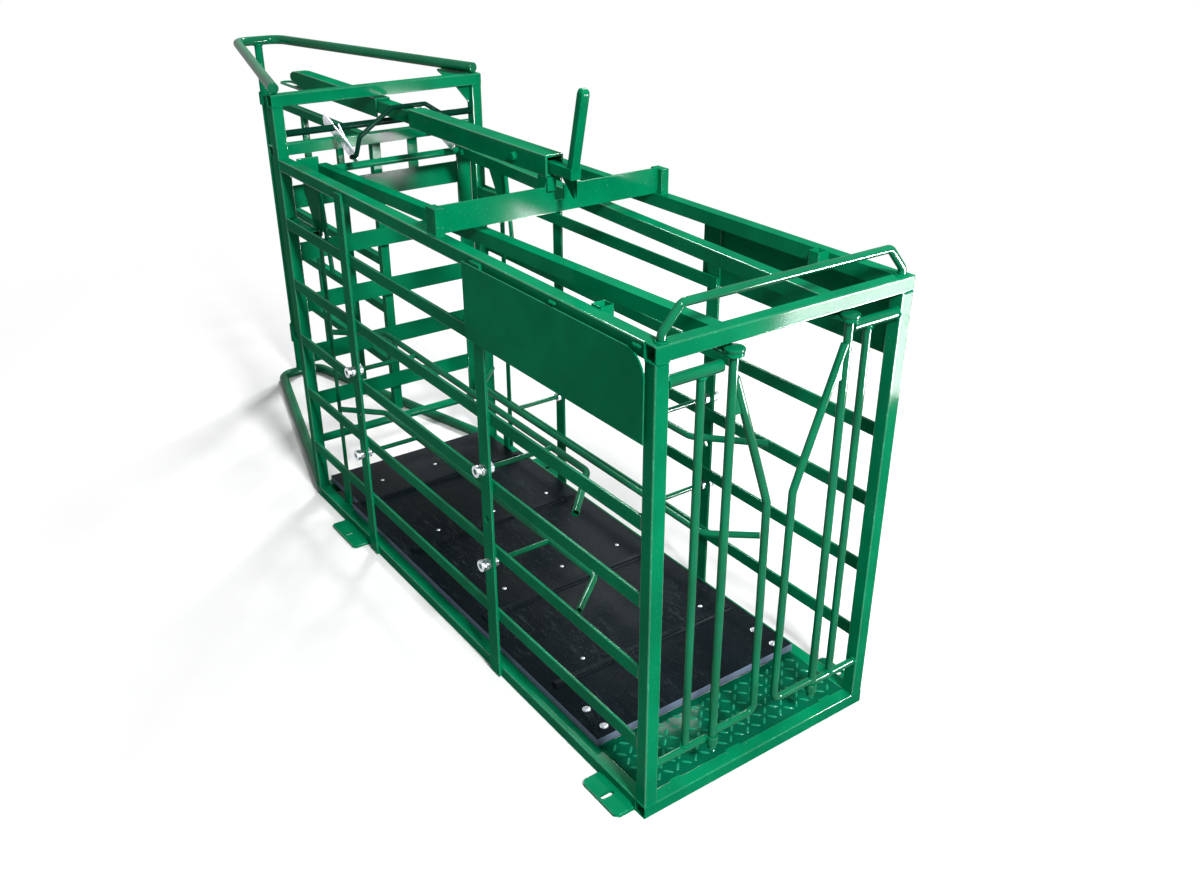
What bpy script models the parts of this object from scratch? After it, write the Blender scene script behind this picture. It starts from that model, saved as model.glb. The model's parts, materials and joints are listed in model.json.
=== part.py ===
"""Sheep drafting crate: a welded box-tube crate with a floor, squeeze bars, head jaws and a drafting leaf.

Lengths are in metres, +X points to the front (the end with the jaws), +Y to the far side and +Z up.
Every piece is laid out from the middle of the crate's own footprint. At the end everything moves along X
together, so that the origin lies on the ground under the middle of the whole outline.
"""
import math

import bmesh
import bpy
from mathutils import Vector

# Overall size of the box frame
CRATE_LENGTH = 1.606
CRATE_WIDTH = 0.610
CRATE_HEIGHT = 1.000
REAR_OPENING = 0.130
NOSE_LENGTH = 0.887

# Stock sizes
BOX = 0.030
BOX_WALL = 0.0025
FLAT_THICKNESS = 0.006
BAR_HEIGHT = 0.030
SHEET = 0.003
TOUCH = 0.0003
TURNING = 0.0004
WELD_OVERLAP = 0.0005
ROUND_SIDES = 16
SLIM_SIDES = 12
STRAIGHT_HALF_ANGLE = math.radians(89.95)

# Planes that the pieces are laid out from
front_x = CRATE_LENGTH / 2
rear_x = -front_x
half_width = CRATE_WIDTH / 2
inner_y = half_width - BOX
rear_height = CRATE_HEIGHT + REAR_OPENING + BOX
NEAR_AND_FAR = (("near", -1), ("far", 1))

# Foot lugs: rear edge, front edge and slot of each
REAR_LUG = (rear_x + 0.208, rear_x + 0.358, rear_x + 0.283)
FRONT_LUG = (front_x - 0.155, front_x - BOX - 0.003, front_x - 0.092)
LUG_REACH = 0.046
LUG_THICKNESS = 0.008
LUG_CHAMFER = 0.010

# Side walls
POST_WIDTH = 0.040
REAR_MID_POST_X = rear_x + 0.403
FRONT_MID_POST_X = front_x - 0.561
MID_POSTS = (("rear", REAR_MID_POST_X), ("front", FRONT_MID_POST_X))
BAR_SHARES = {"a": 0.816, "b": 0.649, "c": 0.488, "d": 0.327, "e": 0.158}
STUB_END_X = rear_x + 0.183
PANEL_REAR_MARGIN = 0.025
PANEL_FRONT_X = front_x - 0.018
PANEL_BOTTOM = CRATE_HEIGHT - 0.177
PANEL_TOP = CRATE_HEIGHT - 0.015
PANEL_CORNER = 0.050

# Squeeze bars, their rods and the nuts that hold them
SQUEEZE_HEIGHTS = {"upper": CRATE_HEIGHT * 0.540, "lower": CRATE_HEIGHT * 0.305}
SQUEEZE_RADIUS = 0.011
SQUEEZE_ROD_RADIUS = 0.008
BUSH_RADIUS = SQUEEZE_ROD_RADIUS + 0.002
NUT_ACROSS_FLATS = 2 * BUSH_RADIUS + 0.004
NUT_THICKNESS = 0.0115
SPARE_HOLE_Z = CRATE_HEIGHT * 0.417
SPARE_HOLE_RADIUS = 0.009

# Floor
BOARD_THICKNESS = 0.020
BOARD_HALF_WIDTH = inner_y + 0.005
BOARD_REAR_HALF_WIDTH = inner_y - 0.013
BOARD_REAR_X = rear_x + 0.013
BOARD_STEP_X = rear_x + 0.203
BOARD_FRONT_X = front_x - 0.195
CLEAT_WIDTH = 0.024
CLEAT_HEIGHT = 0.007
CLEAT_SHARES = (0.150, 0.372, 0.637, 0.859)
BOLT_LINE_Y = inner_y - 0.105
TREAD_REAR_X = BOARD_FRONT_X + 0.001
TREAD_LUG_LENGTH = 0.022
TREAD_LUG_WIDTH = 0.006
TREAD_LUG_HEIGHT = 0.0015
TREAD_PITCH = 0.024

# Front end
PIVOT_Y = inner_y - 0.137
PIVOT_RADIUS = 0.010
JAW_ROD_RADIUS = 0.008
WING_X = front_x - 0.010
WING_TOP_Z = CRATE_HEIGHT - 0.070
WING_ROD_Y = inner_y - 0.075
WING_FOOT_RADIUS = 0.0085
EYE_BOTTOM = 0.112
EYE_THICKNESS = 0.018
EYE_RADIUS = PIVOT_RADIUS + 0.0045
HOOP_RADIUS = 0.010
HOOP_TOP = CRATE_HEIGHT + 0.058

# Inner rails over the animal's back
INNER_RAIL = 0.030
INNER_RAIL_TOP = CRATE_HEIGHT - 0.015
INNER_RAIL_REAR = (rear_x + 0.068, inner_y - 0.070)
INNER_RAIL_FRONT_Y = PIVOT_Y - 0.010

# Lever, long bar and its tube
SLEEVE = 0.046
SLEEVE_BOTTOM = CRATE_HEIGHT + 0.080
SLEEVE_REAR_X = rear_x + 0.223
SLEEVE_FRONT_X = 0.060
LONG_BAR = 0.034
LONG_BAR_REAR_X = rear_x - 0.247
LEVER_BAR_WIDTH = 0.026
LEVER_BAR_HEIGHT = 0.024
LEVER_BAR_REAR_X = -0.100
LONG_BAR_FRONT_X = 0.140
LEVER_WIDTH = 0.021
LEVER_LEAN = 0.044
LEVER_TOP = CRATE_HEIGHT + 0.277
CHANNEL_REAR_X = rear_x - 0.567
CHANNEL_FRONT_X = rear_x + 0.033
CHANNEL_SHEET = 0.004
BRIDGE_X = 0.056
BRIDGE_HEIGHT = 0.058

# Cross shaft and yoke
SHAFT_X = rear_x + 0.013
SHAFT_Z = CRATE_HEIGHT + 0.059
SHAFT_RADIUS = 0.009
YOKE_X = rear_x + 0.183
YOKE_RADIUS = 0.006
LEVER_PLATE_Y = 0.140

# Nose frame behind the rear posts, with the drafting leaf
NOSE_RADIUS = 0.014
GROUND_NOSE_RADIUS = 0.015
NOSE_END_HALF = 0.068
NOSE_BEND = 0.050
NOSE_POST_RADIUS = 0.0125
NOSE_COLLAR_RADIUS = 0.018
NOSE_COLLAR_HEIGHTS = (0.135, 0.155)
LEAF_BAR = 0.025
LEAF_TOP = CRATE_HEIGHT + 0.010
LEAF_BOTTOM = 0.180
LEAF_FREE_X = rear_x - 0.047
LEAF_BAR_SHARES = (0.638, 0.490, 0.317)

# Rear gate and its track
GATE_X = rear_x - 0.0153
GATE_SHEET = 0.005
GATE_SLAT_SHARES = ((0.268, 0.314), (0.410, 0.462), (0.561, 0.612), (0.710, 0.760), (0.855, 0.916))
GATE_NEAR_Y = 0.013 - half_width
GATE_FAR_Y = half_width - 0.025
TRACK_BOTTOM = CRATE_HEIGHT
TRACK_HEIGHT = 0.028
TRACK_WALL = 0.003
TRACK_SLOT = 0.011
HANGER_Y = (0.100, half_width - 0.050)
HANGER_WIDTH = 0.030

# Places that several pieces share
nose_end_x = rear_x - NOSE_LENGTH + GROUND_NOSE_RADIUS
jaw_pivot_x = front_x
cap_radius = 0.019
long_bar_z = SLEEVE_BOTTOM + SLEEVE / 2
board_bottom = BOX + TOUCH
board_top = board_bottom + BOARD_THICKNESS
outline_middle_x = (nose_end_x - NOSE_COLLAR_RADIUS + jaw_pivot_x + cap_radius) / 2

# Colour, roughness and metallic value of each kind of surface
FINISHES = {
    "green_paint": ((0.010, 0.190, 0.095, 1.0), 0.28, 0.0),
    "dark_paint": ((0.006, 0.070, 0.040, 1.0), 0.32, 0.0),
    "zinc": ((0.600, 0.630, 0.660, 1.0), 0.30, 1.0),
    "board": ((0.020, 0.026, 0.032, 1.0), 0.75, 0.0),
}


def solid_from_bmesh(mesh_data):
    """A temporary object made from a closed bmesh, with its faces turned outwards."""
    bmesh.ops.recalc_face_normals(mesh_data, faces=mesh_data.faces)
    mesh = bpy.data.meshes.new("solid")
    mesh_data.to_mesh(mesh)
    mesh_data.free()
    solid = bpy.data.objects.new("solid", mesh)
    bpy.context.scene.collection.objects.link(solid)
    return solid


def box(low, high):
    """A plain block between two corners."""
    mesh_data = bmesh.new()
    bmesh.ops.create_cube(mesh_data, size=1.0)
    size = Vector(high) - Vector(low)
    bmesh.ops.scale(mesh_data, vec=size, verts=mesh_data.verts)
    bmesh.ops.translate(mesh_data, vec=(Vector(low) + Vector(high)) / 2, verts=mesh_data.verts)
    return solid_from_bmesh(mesh_data)


def side_box(side, x_range, y_range, z_range):
    """A block on the near (side -1) or far (side 1) half, with y_range counted outwards."""
    y_values = sorted((side * y_range[0], side * y_range[1]))
    return box((x_range[0], y_values[0], z_range[0]), (x_range[1], y_values[1], z_range[1]))


def circle(radius, sides=ROUND_SIDES):
    """Corner points of a round section."""
    turn = 2 * math.pi / sides
    return [(radius * math.cos(turn * step), radius * math.sin(turn * step)) for step in range(sides)]


def rectangle(width, height):
    """Corner points of a rectangular section."""
    u, v = width / 2, height / 2
    return [(-u, -v), (u, -v), (u, v), (-u, v)]


def rounded_rectangle(width, height, radius, steps=3):
    """Corner points of a rectangular section whose corners are arcs."""
    points = []
    centres = ((1, 1), (-1, 1), (-1, -1), (1, -1))
    for quarter, (sign_u, sign_v) in enumerate(centres):
        for step in range(steps + 1):
            angle = math.pi / 2 * (quarter + step / steps)
            centre_u = sign_u * (width / 2 - radius)
            centre_v = sign_v * (height / 2 - radius)
            points.append((centre_u + radius * math.cos(angle), centre_v + radius * math.sin(angle)))
    return points


def rings_along(path, section, reference):
    """The section's corner points at each point of the path, mitred where the path turns."""
    points = [Vector(point) for point in path]
    direction = (points[1] - points[0]).normalized()
    across = direction.cross(Vector(reference)).normalized()
    upward = across.cross(direction)
    ring = [points[0] + across * u + upward * v for u, v in section]
    rings = [ring]
    for index in range(1, len(points)):
        direction = (points[index] - points[index - 1]).normalized()
        plane = direction
        if index < len(points) - 1:
            plane = (direction + (points[index + 1] - points[index]).normalized()).normalized()
        reach = [(points[index] - corner).dot(plane) / direction.dot(plane) for corner in ring]
        ring = [corner + direction * distance for corner, distance in zip(ring, reach)]
        rings.append(ring)
    return rings


def join_rings(mesh_data, rings):
    """Lays quads between following rings and returns the vertices of each ring."""
    layers = [[mesh_data.verts.new(corner) for corner in ring] for ring in rings]
    count = len(layers[0])
    for lower, upper in zip(layers, layers[1:]):
        for index in range(count):
            following = (index + 1) % count
            mesh_data.faces.new((lower[index], lower[following], upper[following], upper[index]))
    return layers


def sweep(path, section, reference=(0, 0, 1)):
    """A closed solid with one section along a path."""
    mesh_data = bmesh.new()
    layers = join_rings(mesh_data, rings_along(path, section, reference))
    mesh_data.faces.new(layers[0])
    mesh_data.faces.new(layers[-1])
    return solid_from_bmesh(mesh_data)


def hollow_sweep(path, section, bore, reference=(0, 0, 1)):
    """A tube that is open at both ends: an outer skin, an inner skin and two rims."""
    mesh_data = bmesh.new()
    outer = join_rings(mesh_data, rings_along(path, section, reference))
    inner = join_rings(mesh_data, rings_along(path, bore, reference))
    for end in (0, -1):
        for index in range(len(section)):
            following = (index + 1) % len(section)
            rim = (outer[end][index], outer[end][following], inner[end][following], inner[end][index])
            mesh_data.faces.new(rim)
    return solid_from_bmesh(mesh_data)


def loft(rings):
    """A closed solid through rings of equal length, capped at both ends."""
    mesh_data = bmesh.new()
    layers = join_rings(mesh_data, rings)
    mesh_data.faces.new(layers[0])
    mesh_data.faces.new(layers[-1])
    return solid_from_bmesh(mesh_data)


def box_tube(start, end, width=BOX, height=BOX, wall=BOX_WALL, reference=(0, 0, 1)):
    """A straight box section with open ends."""
    bore = rectangle(width - 2 * wall, height - 2 * wall)
    return hollow_sweep((start, end), rectangle(width, height), bore, reference)


def rod(start, end, radius, sides=ROUND_SIDES, reference=(0, 0, 1)):
    """A straight round bar."""
    return sweep((start, end), circle(radius, sides), reference)


def upright(x, y, bottom, top, radius, sides=ROUND_SIDES):
    """A vertical round bar."""
    return rod((x, y, bottom), (x, y, top), radius, sides, (0, 1, 0))


def plate(outline, axis, start, end):
    """A flat piece: an outline in the plane across the axis, extruded from start to end along it."""
    order = {"x": (0, 1, 2), "y": (1, 0, 2), "z": (2, 0, 1)}[axis]
    rings = []
    for level in (start, end):
        ring = []
        for first, second in outline:
            point = [0.0, 0.0, 0.0]
            point[order[0]] = level
            point[order[1]] = first
            point[order[2]] = second
            ring.append(Vector(point))
        rings.append(ring)
    return loft(rings)


def slot_outline(start, end, radius, steps=6):
    """Outline of a strip with round ends between two points of a plane."""
    first = Vector(start)
    last = Vector(end)
    heading = math.atan2(last[1] - first[1], last[0] - first[0])
    points = []
    for centre, offset in ((last, -math.pi / 2), (first, math.pi / 2)):
        for step in range(steps + 1):
            angle = heading + offset + math.pi * step / steps
            points.append((centre[0] + radius * math.cos(angle), centre[1] + radius * math.sin(angle)))
    return points


def bent_path(corners, radius, steps=4):
    """A path through the corners, with an arc of the given radius at each inner corner that turns."""
    points = [Vector(corner) for corner in corners]
    path = [points[0]]
    for before, corner, after in zip(points, points[1:], points[2:]):
        back = (before - corner).normalized()
        ahead = (after - corner).normalized()
        half_angle = back.angle(ahead) / 2
        if half_angle > STRAIGHT_HALF_ANGLE:
            path.append(corner)
            continue
        trim = radius / math.tan(half_angle)
        centre = corner + (back + ahead).normalized() * (radius / math.sin(half_angle))
        start = (corner + back * trim - centre).normalized()
        end = (corner + ahead * trim - centre).normalized()
        for step in range(steps + 1):
            path.append(centre + start.slerp(end, step / steps) * radius)
    path.append(points[-1])
    return path


def combine(target, tool, operation):
    """Joins the tool to the target, or cuts it away, and removes the tool."""
    modifier = target.modifiers.new("combine", "BOOLEAN")
    modifier.operation = operation
    modifier.solver = "EXACT"
    modifier.object = tool
    bpy.context.view_layer.update()
    evaluated = target.evaluated_get(bpy.context.evaluated_depsgraph_get())
    result = bpy.data.meshes.new_from_object(evaluated)
    target.modifiers.remove(modifier)
    target.data = result
    bpy.data.objects.remove(tool)


def make_piece(name, solids, cuts=(), finish="green_paint", pivot=(0.0, 0.0, 0.0), smooth=True):
    """Welds the solids into one piece, cuts it, and gives it its name, material and origin."""
    piece = solids[0]
    for solid in solids[1:]:
        combine(piece, solid, "UNION")
    for cutter in cuts:
        combine(piece, cutter, "DIFFERENCE")
    piece.name = name
    piece.data.name = name
    for vertex in piece.data.vertices:
        vertex.co -= Vector(pivot)
    piece.location = Vector(pivot) - Vector((outline_middle_x, 0.0, 0.0))
    colour, roughness, metallic = FINISHES[finish]
    material = bpy.data.materials.new(name)
    material.use_nodes = True
    surface = material.node_tree.nodes["Principled BSDF"]
    surface.inputs["Base Color"].default_value = colour
    surface.inputs["Roughness"].default_value = roughness
    surface.inputs["Metallic"].default_value = metallic
    piece.data.materials.clear()
    piece.data.materials.append(material)
    if smooth:
        piece.data.shade_smooth()
        piece.data.set_sharp_from_angle(angle=math.radians(35))
    return piece


def corner_posts():
    """Front posts stand between the front beams, rear posts rise to the rear crossbar."""
    for label, side in NEAR_AND_FAR:
        y = side * (half_width - BOX / 2)
        x = front_x - BOX / 2
        front = box_tube((x, y, BOX + TOUCH), (x, y, CRATE_HEIGHT - BOX - TOUCH), reference=(0, 1, 0))
        make_piece(label + "_front_post", [front])
        x = rear_x + BOX / 2
        rear = box_tube((x, y, BOX + TOUCH), (x, y, rear_height - BOX - TOUCH), reference=(0, 1, 0))
        inside = side * (inner_y - BOX_WALL)
        outside = side * (half_width - 2 * BOX_WALL)
        journal = rod((SHAFT_X, inside, SHAFT_Z), (SHAFT_X, outside, SHAFT_Z), SHAFT_RADIUS + TURNING)
        make_piece(label + "_rear_post", [rear], [journal])


def mid_posts():
    """Upright flats on the outside of the rails, bored for the squeeze bars' bushes."""
    inside = half_width + TOUCH
    outside = inside + FLAT_THICKNESS
    for label, side in NEAR_AND_FAR:
        for place, x in MID_POSTS:
            x_range = (x - POST_WIDTH / 2, x + POST_WIDTH / 2)
            flat = side_box(side, x_range, (inside, outside), (0.004, CRATE_HEIGHT - 0.008))
            holes = []
            for z in SQUEEZE_HEIGHTS.values():
                start = (x, side * (inside - 0.01), z)
                end = (x, side * (outside + 0.01), z)
                holes.append(rod(start, end, BUSH_RADIUS + TOUCH, SLIM_SIDES))
            start = (x, side * (inside - 0.01), SPARE_HOLE_Z)
            end = (x, side * (outside + 0.01), SPARE_HOLE_Z)
            holes.append(rod(start, end, SPARE_HOLE_RADIUS, SLIM_SIDES))
            make_piece(label + "_mid_post_" + place, [flat], holes)


def rails():
    """Top rails with a small socket, and bottom rails with foot lugs and floor brackets."""
    rail_front = front_x - BOX - TOUCH
    rail_rear = rear_x + BOX + TOUCH
    middle = half_width - BOX / 2
    for label, side in NEAR_AND_FAR:
        y = side * middle
        z = CRATE_HEIGHT - BOX / 2
        top = box_tube((rail_rear, y, z), (rail_front, y, z))
        socket_x = (front_x - 0.218, front_x - 0.190)
        socket_z = (CRATE_HEIGHT - 0.032, CRATE_HEIGHT + 0.004)
        socket = side_box(side, socket_x, (inner_y - 0.029, inner_y + WELD_OVERLAP), socket_z)
        recess_x = (socket_x[0] + SHEET, socket_x[1] - SHEET)
        recess_z = (CRATE_HEIGHT - 0.015, CRATE_HEIGHT + 0.010)
        recess = side_box(side, recess_x, (inner_y - 0.026, inner_y - 0.003), recess_z)
        make_piece(label + "_top_rail", [top, socket], [recess])

        z = BOX / 2
        bottom = [box_tube((rail_rear, y, z), (rail_front, y, z))]
        slots = []
        root = side * (half_width - 0.002)
        shoulder = side * (half_width + LUG_REACH - LUG_CHAMFER)
        tip = side * (half_width + LUG_REACH)
        for lug_rear, lug_front, slot_x in (REAR_LUG, FRONT_LUG):
            outline = [(lug_rear, root), (lug_front, root), (lug_front, shoulder)]
            outline += [(lug_front - LUG_CHAMFER, tip), (lug_rear + LUG_CHAMFER, tip), (lug_rear, shoulder)]
            bottom.append(plate(outline, "z", 0.0, LUG_THICKNESS))
            start = (slot_x, side * (half_width + 0.016))
            end = (slot_x, side * (half_width + LUG_REACH - 0.012))
            slots.append(plate(slot_outline(start, end, 0.007), "z", -0.01, 0.02))
        for bracket_x in (rear_x + 0.243, -0.130, front_x - 0.223):
            x_range = (bracket_x - 0.0225, bracket_x + 0.0225)
            depth = (inner_y - 0.045, inner_y + WELD_OVERLAP)
            bottom.append(side_box(side, x_range, depth, (0.012, BOX)))
        make_piece(label + "_bottom_rail", bottom, slots)


def cross_beams():
    """Front beams with open ends, and the rear crossbar with its gussets at the far corner."""
    x = front_x - BOX / 2
    for name, z in (("front_top_beam", CRATE_HEIGHT - BOX / 2), ("front_bottom_beam", BOX / 2)):
        make_piece(name, [box_tube((x, -half_width, z), (x, half_width, z))])
    x = rear_x + BOX / 2
    z = rear_height - BOX / 2
    crossbar = box_tube((x, -half_width, z), (x, half_width, z))
    bottom = rear_height - BOX
    corner = inner_y - TOUCH
    below = [(corner, bottom + 0.001), (corner, bottom - 0.045), (corner - 0.008, bottom - 0.045)]
    below.append((corner - 0.045, bottom + 0.001))
    under_gusset = plate(below, "x", x - SHEET, x + SHEET)
    above = [(rear_x + 0.001, half_width - 0.010), (rear_x + 0.001, half_width - 0.100)]
    above += [(rear_x - 0.115, half_width - 0.060), (rear_x - 0.115, half_width - 0.043)]
    over_gusset = plate(above, "z", rear_height - 0.006, rear_height - 0.001)
    make_piece("rear_crossbar", [crossbar, under_gusset, over_gusset])


def side_bars():
    """Five flats a side between the corner posts. The highest stops at the front mid post."""
    outside = half_width - TOUCH
    inside = outside - FLAT_THICKNESS
    bar_rear = rear_x + BOX + TOUCH
    for label, side in NEAR_AND_FAR:
        for letter, share in BAR_SHARES.items():
            bottom = share * CRATE_HEIGHT
            bar_front = front_x - BOX - TOUCH
            solids = []
            if letter == "a":
                bar_front = FRONT_MID_POST_X + POST_WIDTH / 2
                middle = side * (inner_y + (inside - inner_y) / 2 + WELD_OVERLAP)
                z = bottom + BAR_HEIGHT / 2
                width = inside - inner_y + WELD_OVERLAP
                start = (bar_rear, middle, z)
                end = (STUB_END_X, middle, z)
                solids.append(box_tube(start, end, width, BAR_HEIGHT - 0.002))
            z_range = (bottom, bottom + BAR_HEIGHT)
            solids.append(side_box(side, (bar_rear, bar_front), (inside, outside), z_range))
            make_piece(label + "_side_bar_" + letter, solids)


def side_panels():
    """Sheets outside the front bay, with a round top front corner."""
    inside = half_width + FLAT_THICKNESS + 2 * TOUCH
    rear = FRONT_MID_POST_X - POST_WIDTH / 2 - PANEL_REAR_MARGIN
    outline = [(rear, PANEL_BOTTOM), (PANEL_FRONT_X, PANEL_BOTTOM)]
    for step in range(7):
        angle = math.pi / 2 * step / 6
        corner_x = PANEL_FRONT_X - PANEL_CORNER * (1 - math.cos(angle))
        corner_z = PANEL_TOP - PANEL_CORNER * (1 - math.sin(angle))
        outline.append((corner_x, corner_z))
    outline.append((rear, PANEL_TOP))
    for label, side in NEAR_AND_FAR:
        make_piece(label + "_side_panel", [plate(outline, "y", side * inside, side * (inside + SHEET))])


def bush():
    """Outer nut, lock nut, sleeve and inner nut of one adjuster, along +Y from the post's outer face."""
    across_corners = NUT_ACROSS_FLATS / math.cos(math.pi / 6) / 2
    post_inside = -FLAT_THICKNESS - TOUCH
    levels = (
        (TOUCH, NUT_THICKNESS, across_corners, 6),
        (NUT_THICKNESS - WELD_OVERLAP, NUT_THICKNESS + 0.002, BUSH_RADIUS, SLIM_SIDES),
        (NUT_THICKNESS + 0.0015, 2 * NUT_THICKNESS, across_corners, 6),
        (post_inside - 0.001, TOUCH + 0.001, BUSH_RADIUS, SLIM_SIDES),
        (post_inside - NUT_THICKNESS, post_inside, across_corners, 6),
    )
    solids = [rod((0, start, 0), (0, end, 0), radius, sides) for start, end, radius, sides in levels]
    bore = rod((0, -0.03, 0), (0, 0.04, 0), SQUEEZE_ROD_RADIUS + TOUCH, SLIM_SIDES)
    return solids, bore


def adjuster_bushes():
    """Eight bushes, one where each squeeze rod passes a mid post."""
    face = half_width + TOUCH + FLAT_THICKNESS
    for label, side in NEAR_AND_FAR:
        for height, z in SQUEEZE_HEIGHTS.items():
            for place, x in MID_POSTS:
                solids, bore = bush()
                name = "_".join((label, height, "bush", place))
                piece = make_piece(name, solids, [bore], finish="zinc")
                for vertex in piece.data.vertices:
                    vertex.co.y *= side
                if side < 0:
                    piece.data.flip_normals()
                piece.location += Vector((x, side * face, z))


def squeeze_bars():
    """Bent tubes along the cabin, each with two rods that pass the mid posts."""
    outer_end = half_width + TOUCH + FLAT_THICKNESS + 2 * NUT_THICKNESS
    rear, front, wall = REAR_MID_POST_X, FRONT_MID_POST_X, inner_y
    upper = [(rear - 0.285, wall - 0.023), (rear - 0.189, wall - 0.138)]
    upper += [(front + 0.133, wall - 0.135), (front + 0.262, wall - 0.017)]
    lower = [(rear - 0.291, wall - 0.023), (rear - 0.191, wall - 0.120)]
    lower += [(front + 0.178, wall - 0.124), (front + 0.262, wall - 0.023)]
    plans = {"upper": upper, "lower": lower}
    for label, side in NEAR_AND_FAR:
        for height, z in SQUEEZE_HEIGHTS.items():
            corners = [(x, side * y, z) for x, y in plans[height]]
            path = bent_path(corners, 0.035, 3)
            bore = circle(SQUEEZE_RADIUS - BOX_WALL, SLIM_SIDES)
            solids = [hollow_sweep(path, circle(SQUEEZE_RADIUS, SLIM_SIDES), bore)]
            rear_corner, front_corner = plans[height][1], plans[height][2]
            slope = (front_corner[1] - rear_corner[1]) / (front_corner[0] - rear_corner[0])
            for place, x in MID_POSTS:
                bar_y = rear_corner[1] + slope * (x - rear_corner[0])
                start = (x, side * (bar_y + SQUEEZE_RADIUS * 0.6), z)
                solids.append(rod(start, (x, side * outer_end, z), SQUEEZE_ROD_RADIUS, SLIM_SIDES))
            pivot = (0.0, side * plans[height][1][1], z)
            make_piece(label + "_" + height + "_squeeze_bar", solids, pivot=pivot)


def floor():
    """The black floor with cleats and bolts, and the tread plate at the entry."""
    outline = [(BOARD_REAR_X, BOARD_REAR_HALF_WIDTH), (BOARD_STEP_X, BOARD_REAR_HALF_WIDTH)]
    outline += [(BOARD_STEP_X, BOARD_HALF_WIDTH), (BOARD_FRONT_X, BOARD_HALF_WIDTH)]
    outline += [(x, -y) for x, y in reversed(outline)]
    solids = [plate(outline, "z", board_bottom, board_top)]
    cleat_places = [BOARD_REAR_X + share * (BOARD_FRONT_X - BOARD_REAR_X) for share in CLEAT_SHARES]
    for x in cleat_places:
        foot_z = board_top - WELD_OVERLAP
        profile = [(x - CLEAT_WIDTH / 2, foot_z), (x + CLEAT_WIDTH / 2, foot_z)]
        profile.append((x + CLEAT_WIDTH / 2 - 0.004, board_top + CLEAT_HEIGHT))
        profile.append((x - CLEAT_WIDTH / 2 + 0.004, board_top + CLEAT_HEIGHT))
        solids.append(plate(profile, "y", 0.004 - BOARD_REAR_HALF_WIDTH, BOARD_REAR_HALF_WIDTH - 0.004))
    bolt_places = [(x + 0.055, side * BOLT_LINE_Y) for x in cleat_places for side in (-1, 1)]
    for setback in (0.075, 0.016):
        bolt_places += [(BOARD_FRONT_X - setback, side * (BOARD_HALF_WIDTH - 0.024)) for side in (-1, 1)]
    for x, y in bolt_places:
        rings = []
        for radius, z in ((0.008, -WELD_OVERLAP), (0.008, 0.001), (0.0065, 0.003), (0.003, 0.0045)):
            rings.append([Vector((x + u, y + v, board_top + z)) for u, v in circle(radius, 8)])
        solids.append(loft(rings))
    make_piece("floor_board", solids, finish="board")

    tread_front = front_x - BOX - TOUCH
    half_span = inner_y - TOUCH
    sheet = box((TREAD_REAR_X, -half_span, BOX - 0.006), (tread_front, half_span, BOX))
    lugs = bmesh.new()
    columns = int((tread_front - TREAD_REAR_X) / TREAD_PITCH)
    rows = int(2 * half_span / TREAD_PITCH)
    for column in range(columns):
        for row in range(rows):
            x = (TREAD_REAR_X + tread_front) / 2 + (column - (columns - 1) / 2) * TREAD_PITCH
            y = (row - (rows - 1) / 2) * TREAD_PITCH
            angle = math.radians(45 if (column + row) % 2 else -45)
            along = Vector((math.cos(angle), math.sin(angle), 0.0))
            across = Vector((-along.y, along.x, 0.0))
            foot = Vector((x, y, BOX - WELD_OVERLAP))
            crest = Vector((x, y, BOX + TREAD_LUG_HEIGHT))
            ring = [foot + along * TREAD_LUG_LENGTH / 2, foot + across * TREAD_LUG_WIDTH / 2]
            ring += [foot - along * TREAD_LUG_LENGTH / 2, foot - across * TREAD_LUG_WIDTH / 2]
            base = [lugs.verts.new(corner) for corner in ring]
            ridge = [lugs.verts.new(crest + along * TREAD_LUG_LENGTH * share) for share in (0.28, -0.28)]
            lugs.faces.new(base)
            lugs.faces.new((base[0], base[1], ridge[0]))
            lugs.faces.new((base[1], base[2], ridge[1], ridge[0]))
            lugs.faces.new((base[2], base[3], ridge[1]))
            lugs.faces.new((base[3], base[0], ridge[0], ridge[1]))
    make_piece("tread_plate", [sheet, solid_from_bmesh(lugs)], smooth=False)


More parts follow.
